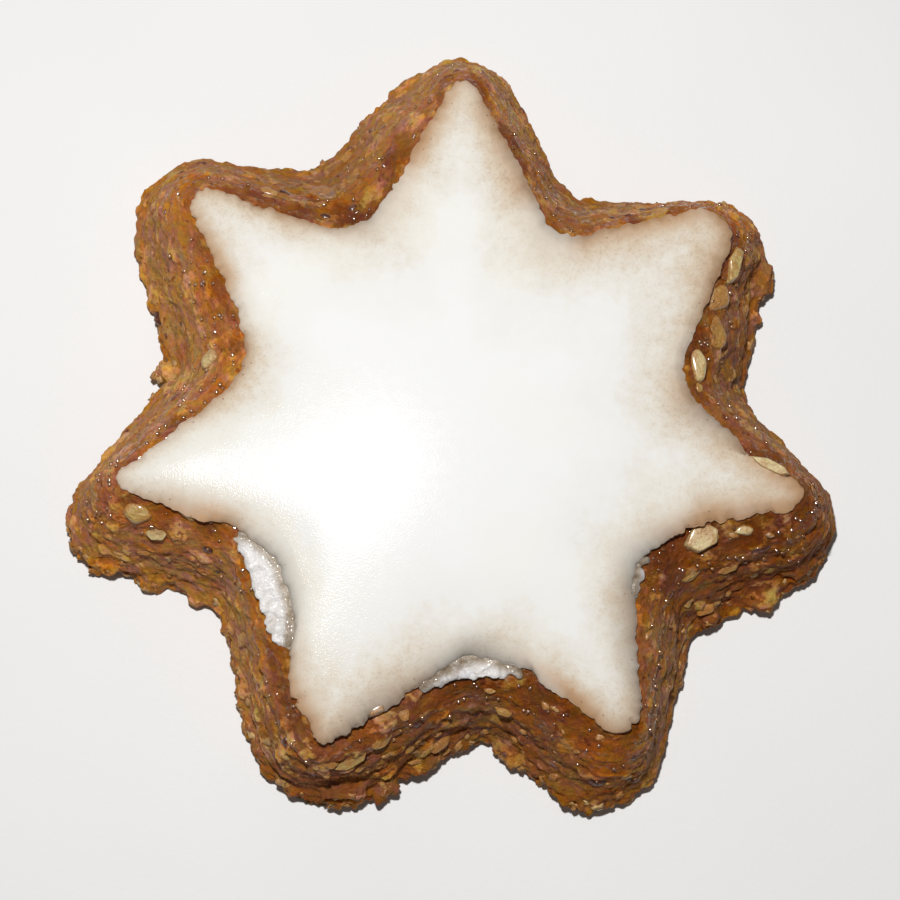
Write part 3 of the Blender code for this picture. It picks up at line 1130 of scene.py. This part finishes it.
# %% Node helpers
def add(tree, kind, inputs, **settings):
    """Adds a node. Its inputs, by name or number, are plain values or another node's output."""
    node = tree.nodes.new("ShaderNode" + kind)
    for name, value in settings.items():
        setattr(node, name, value)
    for key, value in inputs.items():
        if isinstance(value, bpy.types.NodeSocket):
            tree.links.new(value, node.inputs[key])
        else:
            node.inputs[key].default_value = value
    return node


def scaled(tree, vector, factor):
    return add(tree, "VectorMath", {0: vector, "Scale": factor}, operation="SCALE").outputs[0]


def place_in_mm(tree):
    return scaled(tree, add(tree, "TexCoord", {}).outputs["Object"], 1 / MM)


def attribute(tree, name):
    return add(tree, "Attribute", {}, attribute_name=name).outputs["Fac"]


def calculate(tree, operation, first, second):
    return add(tree, "Math", {0: first, 1: second}, operation=operation).outputs[0]


def plus(tree, first, second):
    return calculate(tree, "ADD", first, second)


def times(tree, first, second):
    return calculate(tree, "MULTIPLY", first, second)


# %% Helpers that change and mix values
def between(tree, value, low, high, to_low=0.0, to_high=1.0):
    """A smooth step: to_low where the value is below low, to_high where it is above high."""
    inputs = {"Value": value, "From Min": low, "From Max": high, "To Min": to_low, "To Max": to_high}
    return add(tree, "MapRange", inputs, interpolation_type="SMOOTHSTEP").outputs["Result"]


def mixed(tree, share, first, second, blend="MIX"):
    """One colour mixed into another. Colours are other nodes' outputs or plain (red, green, blue)."""
    colours = [c if isinstance(c, bpy.types.NodeSocket) else (*c, 1.0) for c in (first, second)]
    inputs = {0: share, 6: colours[0], 7: colours[1]}
    return add(tree, "Mix", inputs, data_type="RGBA", blend_type=blend).outputs[2]


def mixed_number(tree, share, first, second):
    return add(tree, "Mix", {0: share, 2: first, 3: second}, data_type="FLOAT").outputs[0]


def shades(tree, value, stops):
    """A colour ramp through stops of (position, colour)."""
    ramp = add(tree, "ValToRGB", {"Fac": value})
    elements = ramp.color_ramp.elements
    while len(elements) < len(stops):
        elements.new(1.0)
    for element, (position, colour) in zip(elements, stops):
        element.position = position
        element.color = (*colour, 1)
    return ramp.outputs["Color"]


def uneven(tree, colour, value, darkest, lightest):
    """The colour made darker and lighter in step with a value from 0 to 1."""
    return mixed(tree, 1.0, colour, shades(tree, value, ((0.0, darkest), (1.0, lightest))), "MULTIPLY")


def blotted(tree, colour, blot, noise, low, high, most, blend="MIX"):
    """A second colour in blots: none where the noise is below low, and the most of it above high."""
    return mixed(tree, between(tree, noise, low, high, 0.0, most), colour, blot, blend)


# %% Helpers for groups and materials
def new_group(name, inputs, outputs):
    """A shader node group with float inputs (name and default) and float outputs."""
    group = bpy.data.node_groups.new(name, "ShaderNodeTree")
    for label, default in inputs:
        socket = group.interface.new_socket(label, in_out="INPUT", socket_type="NodeSocketFloat")
        socket.default_value = default
    for label in outputs:
        group.interface.new_socket(label, in_out="OUTPUT", socket_type="NodeSocketFloat")
    return group, group.nodes.new("NodeGroupInput").outputs, group.nodes.new("NodeGroupOutput").inputs


def use(tree, group, values):
    """Places a group with its values, and gives its output."""
    return add(tree, "Group", values, node_tree=group).outputs[0]


def new_material(name, constants):
    """A material, its tree and its Principled shader. The constants are set on the shader's own sockets."""
    material = bpy.data.materials.new(name)
    material.use_nodes = True
    shader = material.node_tree.nodes["Principled BSDF"]
    for label, value in constants.items():
        shader.inputs[label].default_value = value
    return material, material.node_tree, shader


def connect(tree, shader, sources):
    for label, source in sources.items():
        tree.links.new(source, shader.inputs[label])


def bumped(tree, height, distance):
    """A bump of this height, with its full distance given in millimetres."""
    return add(tree, "Bump", {"Height": height, "Distance": distance * MM}).outputs["Normal"]


# %% Grain group
# Noise with lumps of a size in mm, squashed by flatness, from 0 to 1 with 0.5 as its middle.
grain, given, result = new_group("grain", (("Size", 1.0), ("Flatness", 1.0), ("Detail", 2.0)), ("Value",))
squash = add(grain, "CombineXYZ", {"X": 1.0, "Y": 1.0, "Z": given["Flatness"]})
squashed = add(grain, "VectorMath", {0: place_in_mm(grain), 1: squash.outputs[0]}, operation="MULTIPLY")
sized = scaled(grain, squashed.outputs[0], calculate(grain, "DIVIDE", 1.0, given["Size"]))
cloud = add(grain, "TexNoise", {"Vector": sized, "Scale": 1.0, "Detail": given["Detail"]})
spread = add(grain, "MapRange", {"Value": cloud.outputs["Fac"], "From Min": 0.25, "From Max": 0.75})
grain.links.new(spread.outputs["Result"], result["Value"])
print("group", grain.name, len(grain.nodes), "nodes")

# %% Specks group
# Round specks: cells of a size in mm, of which a share holds a speck of a radius given in cells.
specks, given, result = new_group("specks", (("Size", 1.0), ("Radius", 0.3), ("Share", 0.5)), ("Mask",))
sized = scaled(specks, place_in_mm(specks), calculate(specks, "DIVIDE", 1.0, given["Size"]))
cells = add(specks, "TexVoronoi", {"Vector": sized, "Scale": 1.0})
luck = add(specks, "SeparateColor", {"Color": cells.outputs["Color"]})
chosen = calculate(specks, "LESS_THAN", luck.outputs["Red"], given["Share"])
soft = times(specks, given["Radius"], 0.6)
dot = add(specks, "MapRange", {
    "Value": cells.outputs["Distance"],
    "From Min": soft, "From Max": given["Radius"],
    "To Min": 1.0, "To Max": 0.0,
})
specks.links.new(times(specks, dot.outputs["Result"], chosen), result["Mask"])
print("group", specks.name, len(specks.nodes), "nodes")

# %% Syrup film group
# A film of syrup that starts at one height, covers all by another, and is patchy in between.
syrup_film, given, result = new_group(
    "syrup_film", (("Low", 5.5), ("High", 8.0), ("Patchiness", 4.0)), ("Mask",),
)
patches = use(syrup_film, grain, {"Size": 1.3, "Flatness": 1.5, "Detail": 2.0})
offset = times(syrup_film, calculate(syrup_film, "SUBTRACT", patches, 0.5), given["Patchiness"])
height = add(syrup_film, "SeparateXYZ", {0: place_in_mm(syrup_film)}).outputs["Z"]
lifted = plus(syrup_film, height, offset)
film = add(syrup_film, "MapRange", {"Value": lifted, "From Min": given["Low"], "From Max": given["High"]})
syrup_film.links.new(film.outputs["Result"], result["Mask"])
print("group", syrup_film.name, len(syrup_film.nodes), "nodes")

# %% [markdown]
# ## The dough's colour
# Baked nut dough is darkest and reddest where it soaked up syrup under the icing, a dull mauve brown with
# tan streaks halfway down where the cutter smeared it, and orange at the foot where sugar browned on the
# tray. A ramp over the soaked syrup gives those bands. Patches with a hue of their own, streaks, specks and a
# marbling of mauve and olive break them up. A single noise would be simpler, but the dough would look dyed.

# %% Dough bands
LEAST_SOAK = 0.35
SOAK_RANGE = 1.8
FOOT_ORANGE = (0.68, 0.275, 0.016)
SYRUP_GLOW = (0.86, 0.290, 0.016)
HONEY = (0.57, 0.290, 0.072)
MAUVE = (0.55, 0.295, 0.162)


def dough_bands(tree):
    """The wall's bands and patches, from dry mauve through orange to the dark red of soaked dough."""
    smudge = use(tree, grain, {"Size": 1.4, "Flatness": 1.6, "Detail": 3.0})
    soak = plus(tree, attribute(tree, "soak"), times(tree, smudge, 0.5))
    colour = shades(tree, calculate(tree, "DIVIDE", plus(tree, soak, LEAST_SOAK), SOAK_RANGE), (
        (0.00, (0.535, 0.298, 0.124)),
        (0.22, (0.575, 0.295, 0.092)),
        (0.40, (0.570, 0.242, 0.046)),
        (0.52, (0.590, 0.175, 0.016)),
        (0.64, (0.330, 0.092, 0.008)),
        (0.80, (0.225, 0.050, 0.005)),
        (1.00, (0.170, 0.032, 0.006)),
    ))
    patch = shades(tree, attribute(tree, "hue"), (
        (0.00, (0.44, 0.220, 0.130)),
        (0.22, (0.54, 0.285, 0.125)),
        (0.42, (0.61, 0.300, 0.078)),
        (0.58, (0.69, 0.270, 0.036)),
        (0.72, (0.56, 0.165, 0.008)),
        (0.86, (0.62, 0.390, 0.100)),
        (1.00, (0.68, 0.460, 0.150)),
    ))
    mixed_in = between(tree, attribute(tree, "ledged"), 0.1, 0.8, 0.5, 0.7)
    mixed_in = times(tree, mixed_in, between(tree, soak, 0.45, 1.1, 1.0, 0.45))
    colour = mixed(tree, mixed_in, colour, patch)
    at_foot = times(tree, attribute(tree, "foot"), between(tree, smudge, 0.25, 0.6, 0.3, 0.85))
    colour = mixed(tree, at_foot, colour, FOOT_ORANGE)
    glowing = times(tree, attribute(tree, "glow"), between(tree, smudge, 0.2, 0.6, 0.25, 0.95))
    colour = mixed(tree, glowing, colour, SYRUP_GLOW)
    honey = use(tree, grain, {"Size": 2.4, "Flatness": 1.4, "Detail": 3.0})
    colour = blotted(tree, colour, HONEY, honey, 0.55, 0.9, 0.55)
    smears = use(tree, grain, {"Size": 2.0, "Flatness": 3.0, "Detail": 4.0})
    dryness = between(tree, attribute(tree, "soak"), 0.7, -0.1, 0.1, 0.7)
    return mixed(tree, times(tree, between(tree, smears, 0.5, 0.75), dryness), colour, MAUVE)


# %% Dough mixture
NUT_FLESH = (0.60, 0.390, 0.135)
DARK_MIXTURE = (0.50, 0.39, 0.32)
SYRUP_SPOT = (0.15, 0.030, 0.010)


def speckled_dough(tree, colour, fine, mixture):
    """The ground nut, the dark bits and the marbling in the dough's colour."""
    variety = between(tree, attribute(tree, "ledged"), 0.15, 0.8, 0.6, 1.0)
    nutty = plus(tree, mixture, times(tree, attribute(tree, "ground_nut"), 0.2))
    lighter = times(tree, between(tree, nutty, 0.70, 1.05, 0.0, 0.8), variety)
    colour = mixed(tree, lighter, colour, NUT_FLESH)
    darker = times(tree, between(tree, mixture, 0.62, 0.35), variety)
    colour = mixed(tree, darker, colour, DARK_MIXTURE, "MULTIPLY")
    spots = use(tree, grain, {"Size": 0.8, "Flatness": 1.4, "Detail": 2.0})
    colour = blotted(tree, colour, SYRUP_SPOT, spots, 0.77, 0.92, 0.65)
    colour = uneven(tree, colour, fine, (0.80, 0.78, 0.76), (1.18, 1.18, 1.17))
    marbling = use(tree, grain, {"Size": 1.1, "Flatness": 1.8, "Detail": 4.0})
    tint = shades(tree, marbling, (
        (0.30, (1.00, 0.91, 1.38)),
        (0.43, (1.01, 0.98, 1.12)),
        (0.53, (1.03, 1.00, 0.82)),
        (0.68, (0.96, 1.12, 0.86)),
    ))
    return mixed(tree, 1.0, colour, tint, "MULTIPLY")


# %% Dough material
# Darkens the wall where it is browned and shaded: partly real browning, partly painted shade on the sides
# turned from the lamp.
BROWNING_AND_SHADE = (0.58, 0.52, 0.46)
# Darker in the wall's hollows: partly syrup pooled there, partly painted shade.
HOLLOW_SYRUP_AND_SHADE = (0.22, 0.055, 0.010)
# Painted shade in the cracks round the flakes.
CRACK_SHADE = (0.12, 0.042, 0.013)


def dough_material():
    material, tree, shader = new_material("baked_nut_dough", {
        "IOR": 1.45, "Specular IOR Level": 0.05, "Coat Roughness": 0.12, "Coat IOR": 1.6,
        "Subsurface Weight": 0.35, "Subsurface Radius": (1.0, 0.4, 0.15), "Subsurface Scale": 1.0 * MM,
    })
    fine = use(tree, grain, {"Size": 0.4, "Detail": 3.0})
    mixture = plus(tree, attribute(tree, "mixture"), times(tree, fine, 0.3))
    colour = speckled_dough(tree, dough_bands(tree), fine, mixture)
    # Partly browning, partly painted shade on the sides turned from the lamp.
    colour = mixed(tree, attribute(tree, "browned_and_shaded"), colour, BROWNING_AND_SHADE, "MULTIPLY")
    # Painted shade in the hollows, partly syrup pooled there, deeper where the relief sinks.
    colour = mixed(tree, between(tree, attribute(tree, "relief"), -0.2, -0.7, 0.0, 0.4), colour, HOLLOW_SYRUP_AND_SHADE)
    # Painted shade in the sunken cracks round the flakes.
    colour = mixed(tree, times(tree, attribute(tree, "crack"), 0.2), colour, CRACK_SHADE)
    film = use(tree, syrup_film, {"Low": 5.2, "High": 8.4, "Patchiness": 5.0})
    dull = between(tree, use(tree, grain, {"Size": 0.6, "Detail": 3.0}), 0.2, 0.8, 0.6, 0.34)
    beads = between(tree, use(tree, grain, {"Size": 0.3, "Detail": 2.0}), 0.64, 0.74)
    connect(tree, shader, {
        "Base Color": colour,
        "Coat Weight": times(tree, beads, film),
        "Roughness": mixed_number(tree, film, dull, 0.14),
        "Normal": bumped(tree, plus(tree, times(tree, mixture, 0.5), fine), 0.1),
    })
    return material


baked_dough = dough_material()
print(baked_dough.name, len(baked_dough.node_tree.nodes), "nodes")

# %% [markdown]
# ## The icing's colour
# Egg white icing is nearly pure white where it is thick. Where it thins towards the rim and out in the
# tips, syrup shows through as cream and then as a brown stain. The cover worked out with the shape drives
# that, with the stain's border blurred by noise, so that colour and form agree at every bend of the rim. The
# cover also carries painted shade and painted light by bearing, and the thick round edges get painted shade.
# Grains of undissolved sugar make it sparkle.

# %% Icing colour
COVER_RANGE = 1.45
RIM_BROWN = (0.42, 0.250, 0.160)
DOUGH_STAIN = (0.50, 0.280, 0.135)
# Painted shade on the thick round edges of the icing.
ROUNDED_EDGE_SHADE = (0.36, 0.330, 0.290)
SUGAR_BROWN = (0.36, 0.270, 0.190)
RIM_SPECK = (0.20, 0.100, 0.050)
DAMP_CREAM = (0.775, 0.768, 0.715)


def icing_colour(tree, cover, mottle):
    """White where the icing covers well, then cream and brown, with stains and specks near the rim, and
    painted shade on the thick round edges.
    """
    from_rim = attribute(tree, "from_rim")
    colour = shades(tree, calculate(tree, "DIVIDE", cover, COVER_RANGE), (
        (0.04, (0.34, 0.205, 0.110)),
        (0.18, (0.495, 0.355, 0.240)),
        (0.32, (0.600, 0.505, 0.393)),
        (0.46, (0.688, 0.650, 0.583)),
        (0.62, (0.75, 0.742, 0.722)),
        (0.85, (0.775, 0.778, 0.778)),
    ))
    from_rough_rim = plus(tree, from_rim, times(tree, mottle, 0.3))
    colour = mixed(tree, between(tree, from_rough_rim, 0.5, 0.1, 0.0, 0.5), colour, RIM_BROWN)
    stain_grain = use(tree, grain, {"Size": 0.22, "Detail": 2.0})
    stain_reach = plus(tree, from_rim, times(tree, stain_grain, 0.9))
    stained = times(tree, between(tree, stain_reach, 2.3, 0.6), attribute(tree, "stained"))
    colour = mixed(tree, stained, colour, DOUGH_STAIN)
    # Painted shade where the thick round edge bends down, greyer towards the rim.
    painted_edge_shade = times(tree, between(tree, from_rim, 3.4, 0.0, 0.0, 0.9), attribute(tree, "thick_edge"))
    colour = mixed(tree, painted_edge_shade, colour, ROUNDED_EDGE_SHADE)
    grainy = times(tree, between(tree, stain_grain, 0.48, 0.85, 0.0, 0.36), between(tree, cover, 0.95, 0.25))
    colour = mixed(tree, grainy, colour, SUGAR_BROWN)
    dots = use(tree, specks, {"Size": 0.55, "Radius": 0.16, "Share": 0.3})
    colour = mixed(tree, times(tree, dots, between(tree, from_rim, 1.6, 0.2, 0.0, 0.9)), colour, RIM_SPECK)
    damp = use(tree, grain, {"Size": 9.0, "Detail": 1.0})
    return blotted(tree, colour, DAMP_CREAM, damp, 0.45, 0.8, 0.4)


# %% Icing material
MIDDLE_BLUR = 0.17


def icing_material():
    material, tree, shader = new_material("egg_white_icing", {"IOR": 1.45, "Specular IOR Level": 0.06})
    clouds = use(tree, grain, {"Size": 3.2, "Detail": 3.0})
    mottle = use(tree, grain, {"Size": 0.7, "Detail": 3.0})
    blur = plus(tree, times(tree, clouds, 0.2), times(tree, mottle, 0.14))
    cover = calculate(tree, "SUBTRACT", plus(tree, attribute(tree, "cover"), blur), MIDDLE_BLUR)
    crystals = use(tree, grain, {"Size": 0.13, "Detail": 1.0})
    sugary = between(tree, cover, 1.4, 0.5, 0.5, 1.0)
    connect(tree, shader, {
        "Base Color": icing_colour(tree, cover, mottle),
        "Roughness": between(tree, mottle, 0.3, 0.7, 0.16, 0.13),
        "Normal": bumped(tree, times(tree, crystals, sugary), 0.0045),
    })
    return material


white_icing = icing_material()
print(white_icing.name, len(white_icing.node_tree.nodes), "nodes")

# %% Foam material
PIT_BROWN = (0.40, 0.290, 0.200)
PURE_WHITE = (0.80, 0.785, 0.775)
# Painted shade on the foam under the icing's lip.
SHADE_UNDER_THE_RIM = (0.50, 0.42, 0.32)


def foam_material():
    material, tree, shader = new_material("dried_foam", {"IOR": 1.45, "Coat Weight": 0.2})
    cloud = use(tree, grain, {"Size": 0.9, "Detail": 3.0})
    colour = shades(tree, cloud, (
        (0.10, (0.28, 0.210, 0.140)),
        (0.40, (0.42, 0.375, 0.340)),
        (0.75, (0.60, 0.590, 0.605)),
    ))
    stuck_crumbs = use(tree, specks, {"Size": 0.9, "Radius": 0.12, "Share": 0.3})
    brown_bits = times(tree, plus(tree, attribute(tree, "pit"), stuck_crumbs), 0.5)
    colour = mixed(tree, brown_bits, colour, PIT_BROWN)
    colour = blotted(tree, colour, PURE_WHITE, attribute(tree, "pure"), 0.1, 0.7, 0.65)
    # Painted shade on the foam under the icing's lip.
    colour = mixed(tree, attribute(tree, "under_rim_shade"), colour, SHADE_UNDER_THE_RIM, "MULTIPLY")
    fine = use(tree, grain, {"Size": 0.22, "Detail": 3.0})
    connect(tree, shader, {
        "Base Color": colour,
        "Roughness": between(tree, cloud, 0.2, 0.8, 0.5, 0.3),
        "Normal": bumped(tree, fine, 0.05),
    })
    return material


dried_foam = foam_material()
print(dried_foam.name, len(dried_foam.node_tree.nodes), "nodes")

# %% [markdown]
# ## Nuts, skins, syrup and crumbs
# Cut nut flesh is cream to tan, waxy and a little streaky, and brown where the dough soaks its edges. Skins
# are thin, dark red and glossy. Syrup dried as dark amber drops, and crumbs are dough that browned all
# round. Each stamp's tone picks its shade, so one material does for all the stamps of a kind.

# %% Nut material
NUT_VEIN = (0.40, 0.200, 0.060)
NUT_SMEAR = (0.42, 0.185, 0.045)
SOAKED_NUT = (0.36, 0.150, 0.034)


def nut_material():
    material, tree, shader = new_material("cut_nut", {
        "IOR": 1.47, "Coat Roughness": 0.15,
        "Subsurface Weight": 0.4, "Subsurface Radius": (1.0, 0.7, 0.4), "Subsurface Scale": 1.0 * MM,
    })
    tone = attribute(tree, "tone")
    colour = shades(tree, calculate(tree, "DIVIDE", tone, 3.0), (
        (0.00, (0.62, 0.500, 0.270)),
        (0.12, (0.51, 0.380, 0.140)),
        (0.24, (0.43, 0.280, 0.075)),
        (0.32, (0.39, 0.230, 0.050)),
        (0.42, (0.46, 0.185, 0.026)),
        (0.54, (0.46, 0.400, 0.330)),
        (0.68, (0.28, 0.240, 0.190)),
        (1.00, (0.10, 0.105, 0.125)),
    ))
    veins = use(tree, grain, {"Size": 0.8, "Flatness": 2.5, "Detail": 3.0})
    colour = blotted(tree, colour, NUT_VEIN, veins, 0.45, 0.85, 0.6)
    smears = use(tree, grain, {"Size": 1.1, "Detail": 3.0})
    smears = times(tree, smears, between(tree, tone, 0.0, 0.9, 0.8, 1.5))
    colour = blotted(tree, colour, NUT_SMEAR, smears, 0.5, 0.85, 0.7)
    colour = mixed(tree, times(tree, attribute(tree, "sunk"), 0.85), colour, SOAKED_NUT)
    fine = use(tree, grain, {"Size": 0.25, "Detail": 2.0})
    colour = uneven(tree, colour, fine, (0.85, 0.84, 0.82), (1.1, 1.1, 1.1))
    film = use(tree, syrup_film, {"Low": 6.0, "High": 9.0, "Patchiness": 3.0})
    connect(tree, shader, {
        "Base Color": colour,
        "Roughness": between(tree, veins, 0.1, 0.9, 0.5, 0.34),
        "Coat Weight": times(tree, film, 0.8),
        "Normal": bumped(tree, plus(tree, veins, fine), 0.07),
    })
    return material


cut_nuts = nut_material()
print(cut_nuts.name, len(cut_nuts.node_tree.nodes), "nodes")

# %% Skin material
WRINKLE_RED = (0.26, 0.100, 0.045)


def skin_material():
    material, tree, shader = new_material("dark_nut_skin", {"IOR": 1.47, "Coat Roughness": 0.1})
    colour = shades(tree, attribute(tree, "tone"), (
        (0.0, (0.075, 0.020, 0.010)),
        (1.0, (0.180, 0.055, 0.022)),
    ))
    wrinkles = use(tree, grain, {"Size": 0.35, "Flatness": 2.0, "Detail": 3.0})
    colour = blotted(tree, colour, WRINKLE_RED, wrinkles, 0.5, 0.9, 0.4)
    film = use(tree, syrup_film, {"Low": 3.0, "High": 8.0, "Patchiness": 4.0})
    connect(tree, shader, {
        "Base Color": colour,
        "Roughness": between(tree, wrinkles, 0.1, 0.9, 0.45, 0.25),
        "Coat Weight": times(tree, film, 0.7),
        "Normal": bumped(tree, wrinkles, 0.04),
    })
    return material


dark_skins = skin_material()
print(dark_skins.name, len(dark_skins.node_tree.nodes), "nodes")

# %% Syrup material
CLOUDED = (0.70, 0.60, 0.50)


def syrup_material():
    material, tree, shader = new_material("amber_syrup", {
        "IOR": 1.48, "Specular IOR Level": 1.0, "Coat Weight": 1.0, "Coat Roughness": 0.06, "Coat IOR": 1.8,
    })
    colour = shades(tree, attribute(tree, "tone"), (
        (0.0, (0.28, 0.120, 0.028)),
        (0.5, (0.20, 0.070, 0.013)),
        (1.0, (0.10, 0.025, 0.005)),
    ))
    cloud = use(tree, grain, {"Size": 0.4, "Detail": 2.0})
    colour = blotted(tree, colour, CLOUDED, cloud, 0.4, 0.9, 0.5, "MULTIPLY")
    connect(tree, shader, {"Base Color": colour, "Roughness": between(tree, cloud, 0.1, 0.9, 0.06, 0.14)})
    return material


amber_syrup = syrup_material()
print(amber_syrup.name, len(amber_syrup.node_tree.nodes), "nodes")

# %% Crumb material
def crumb_material():
    material, tree, shader = new_material("browned_crumb", {"IOR": 1.45, "Coat Roughness": 0.15})
    colour = shades(tree, attribute(tree, "tone"), (
        (0.0, (0.28, 0.105, 0.026)),
        (0.5, (0.42, 0.195, 0.045)),
        (0.8, (0.40, 0.220, 0.080)),
        (1.0, (0.54, 0.360, 0.150)),
    ))
    fine = use(tree, grain, {"Size": 0.3, "Detail": 3.0})
    colour = uneven(tree, colour, fine, (0.75, 0.72, 0.7), (1.2, 1.18, 1.15))
    film = use(tree, syrup_film, {"Low": 0.0, "High": 6.0, "Patchiness": 5.0})
    connect(tree, shader, {
        "Base Color": colour,
        "Roughness": between(tree, fine, 0.1, 0.9, 0.6, 0.4),
        "Coat Weight": times(tree, film, 0.5),
        "Normal": bumped(tree, fine, 0.06),
    })
    return material


browned_crumbs = crumb_material()
print(browned_crumbs.name, len(browned_crumbs.node_tree.nodes), "nodes")

# %% Floor material
def floor_material():
    material, tree, shader = new_material("matt_paper", {"IOR": 1.4, "Specular IOR Level": 0.2})
    cloud = use(tree, grain, {"Size": 30.0, "Detail": 2.0})
    fibres = use(tree, grain, {"Size": 0.5, "Detail": 2.0})
    connect(tree, shader, {
        "Base Color": shades(tree, cloud, ((0.0, (0.77, 0.772, 0.776)), (1.0, (0.80, 0.800, 0.802)))),
        "Roughness": between(tree, cloud, 0.0, 1.0, 0.85, 0.95),
        "Normal": bumped(tree, fibres, 0.01),
    })
    return material


matt_paper = floor_material()
floor.data.materials.append(matt_paper)
print(matt_paper.name, len(matt_paper.node_tree.nodes), "nodes")

# %% [markdown]
# ## Putting the pieces in place
# Each shape becomes one piece with its material. All pieces ride on the one body, and the dough and the icing
# take over from their CAD solids.

# %% Pieces
dough_body = make_piece("dough_body", dough_shape, baked_dough)
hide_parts("dough")
icing_cap = make_piece("icing_cap", icing_shape, white_icing)
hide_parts("icing")
make_piece("foam_crust", foam_shape, dried_foam)
make_piece("nut_pieces", nut_shape, cut_nuts)
make_piece("nut_skins", skin_shape, dark_skins)
make_piece("syrup_drops", drop_shape, amber_syrup)
make_piece("foot_crumbs", crumb_shape, browned_crumbs)
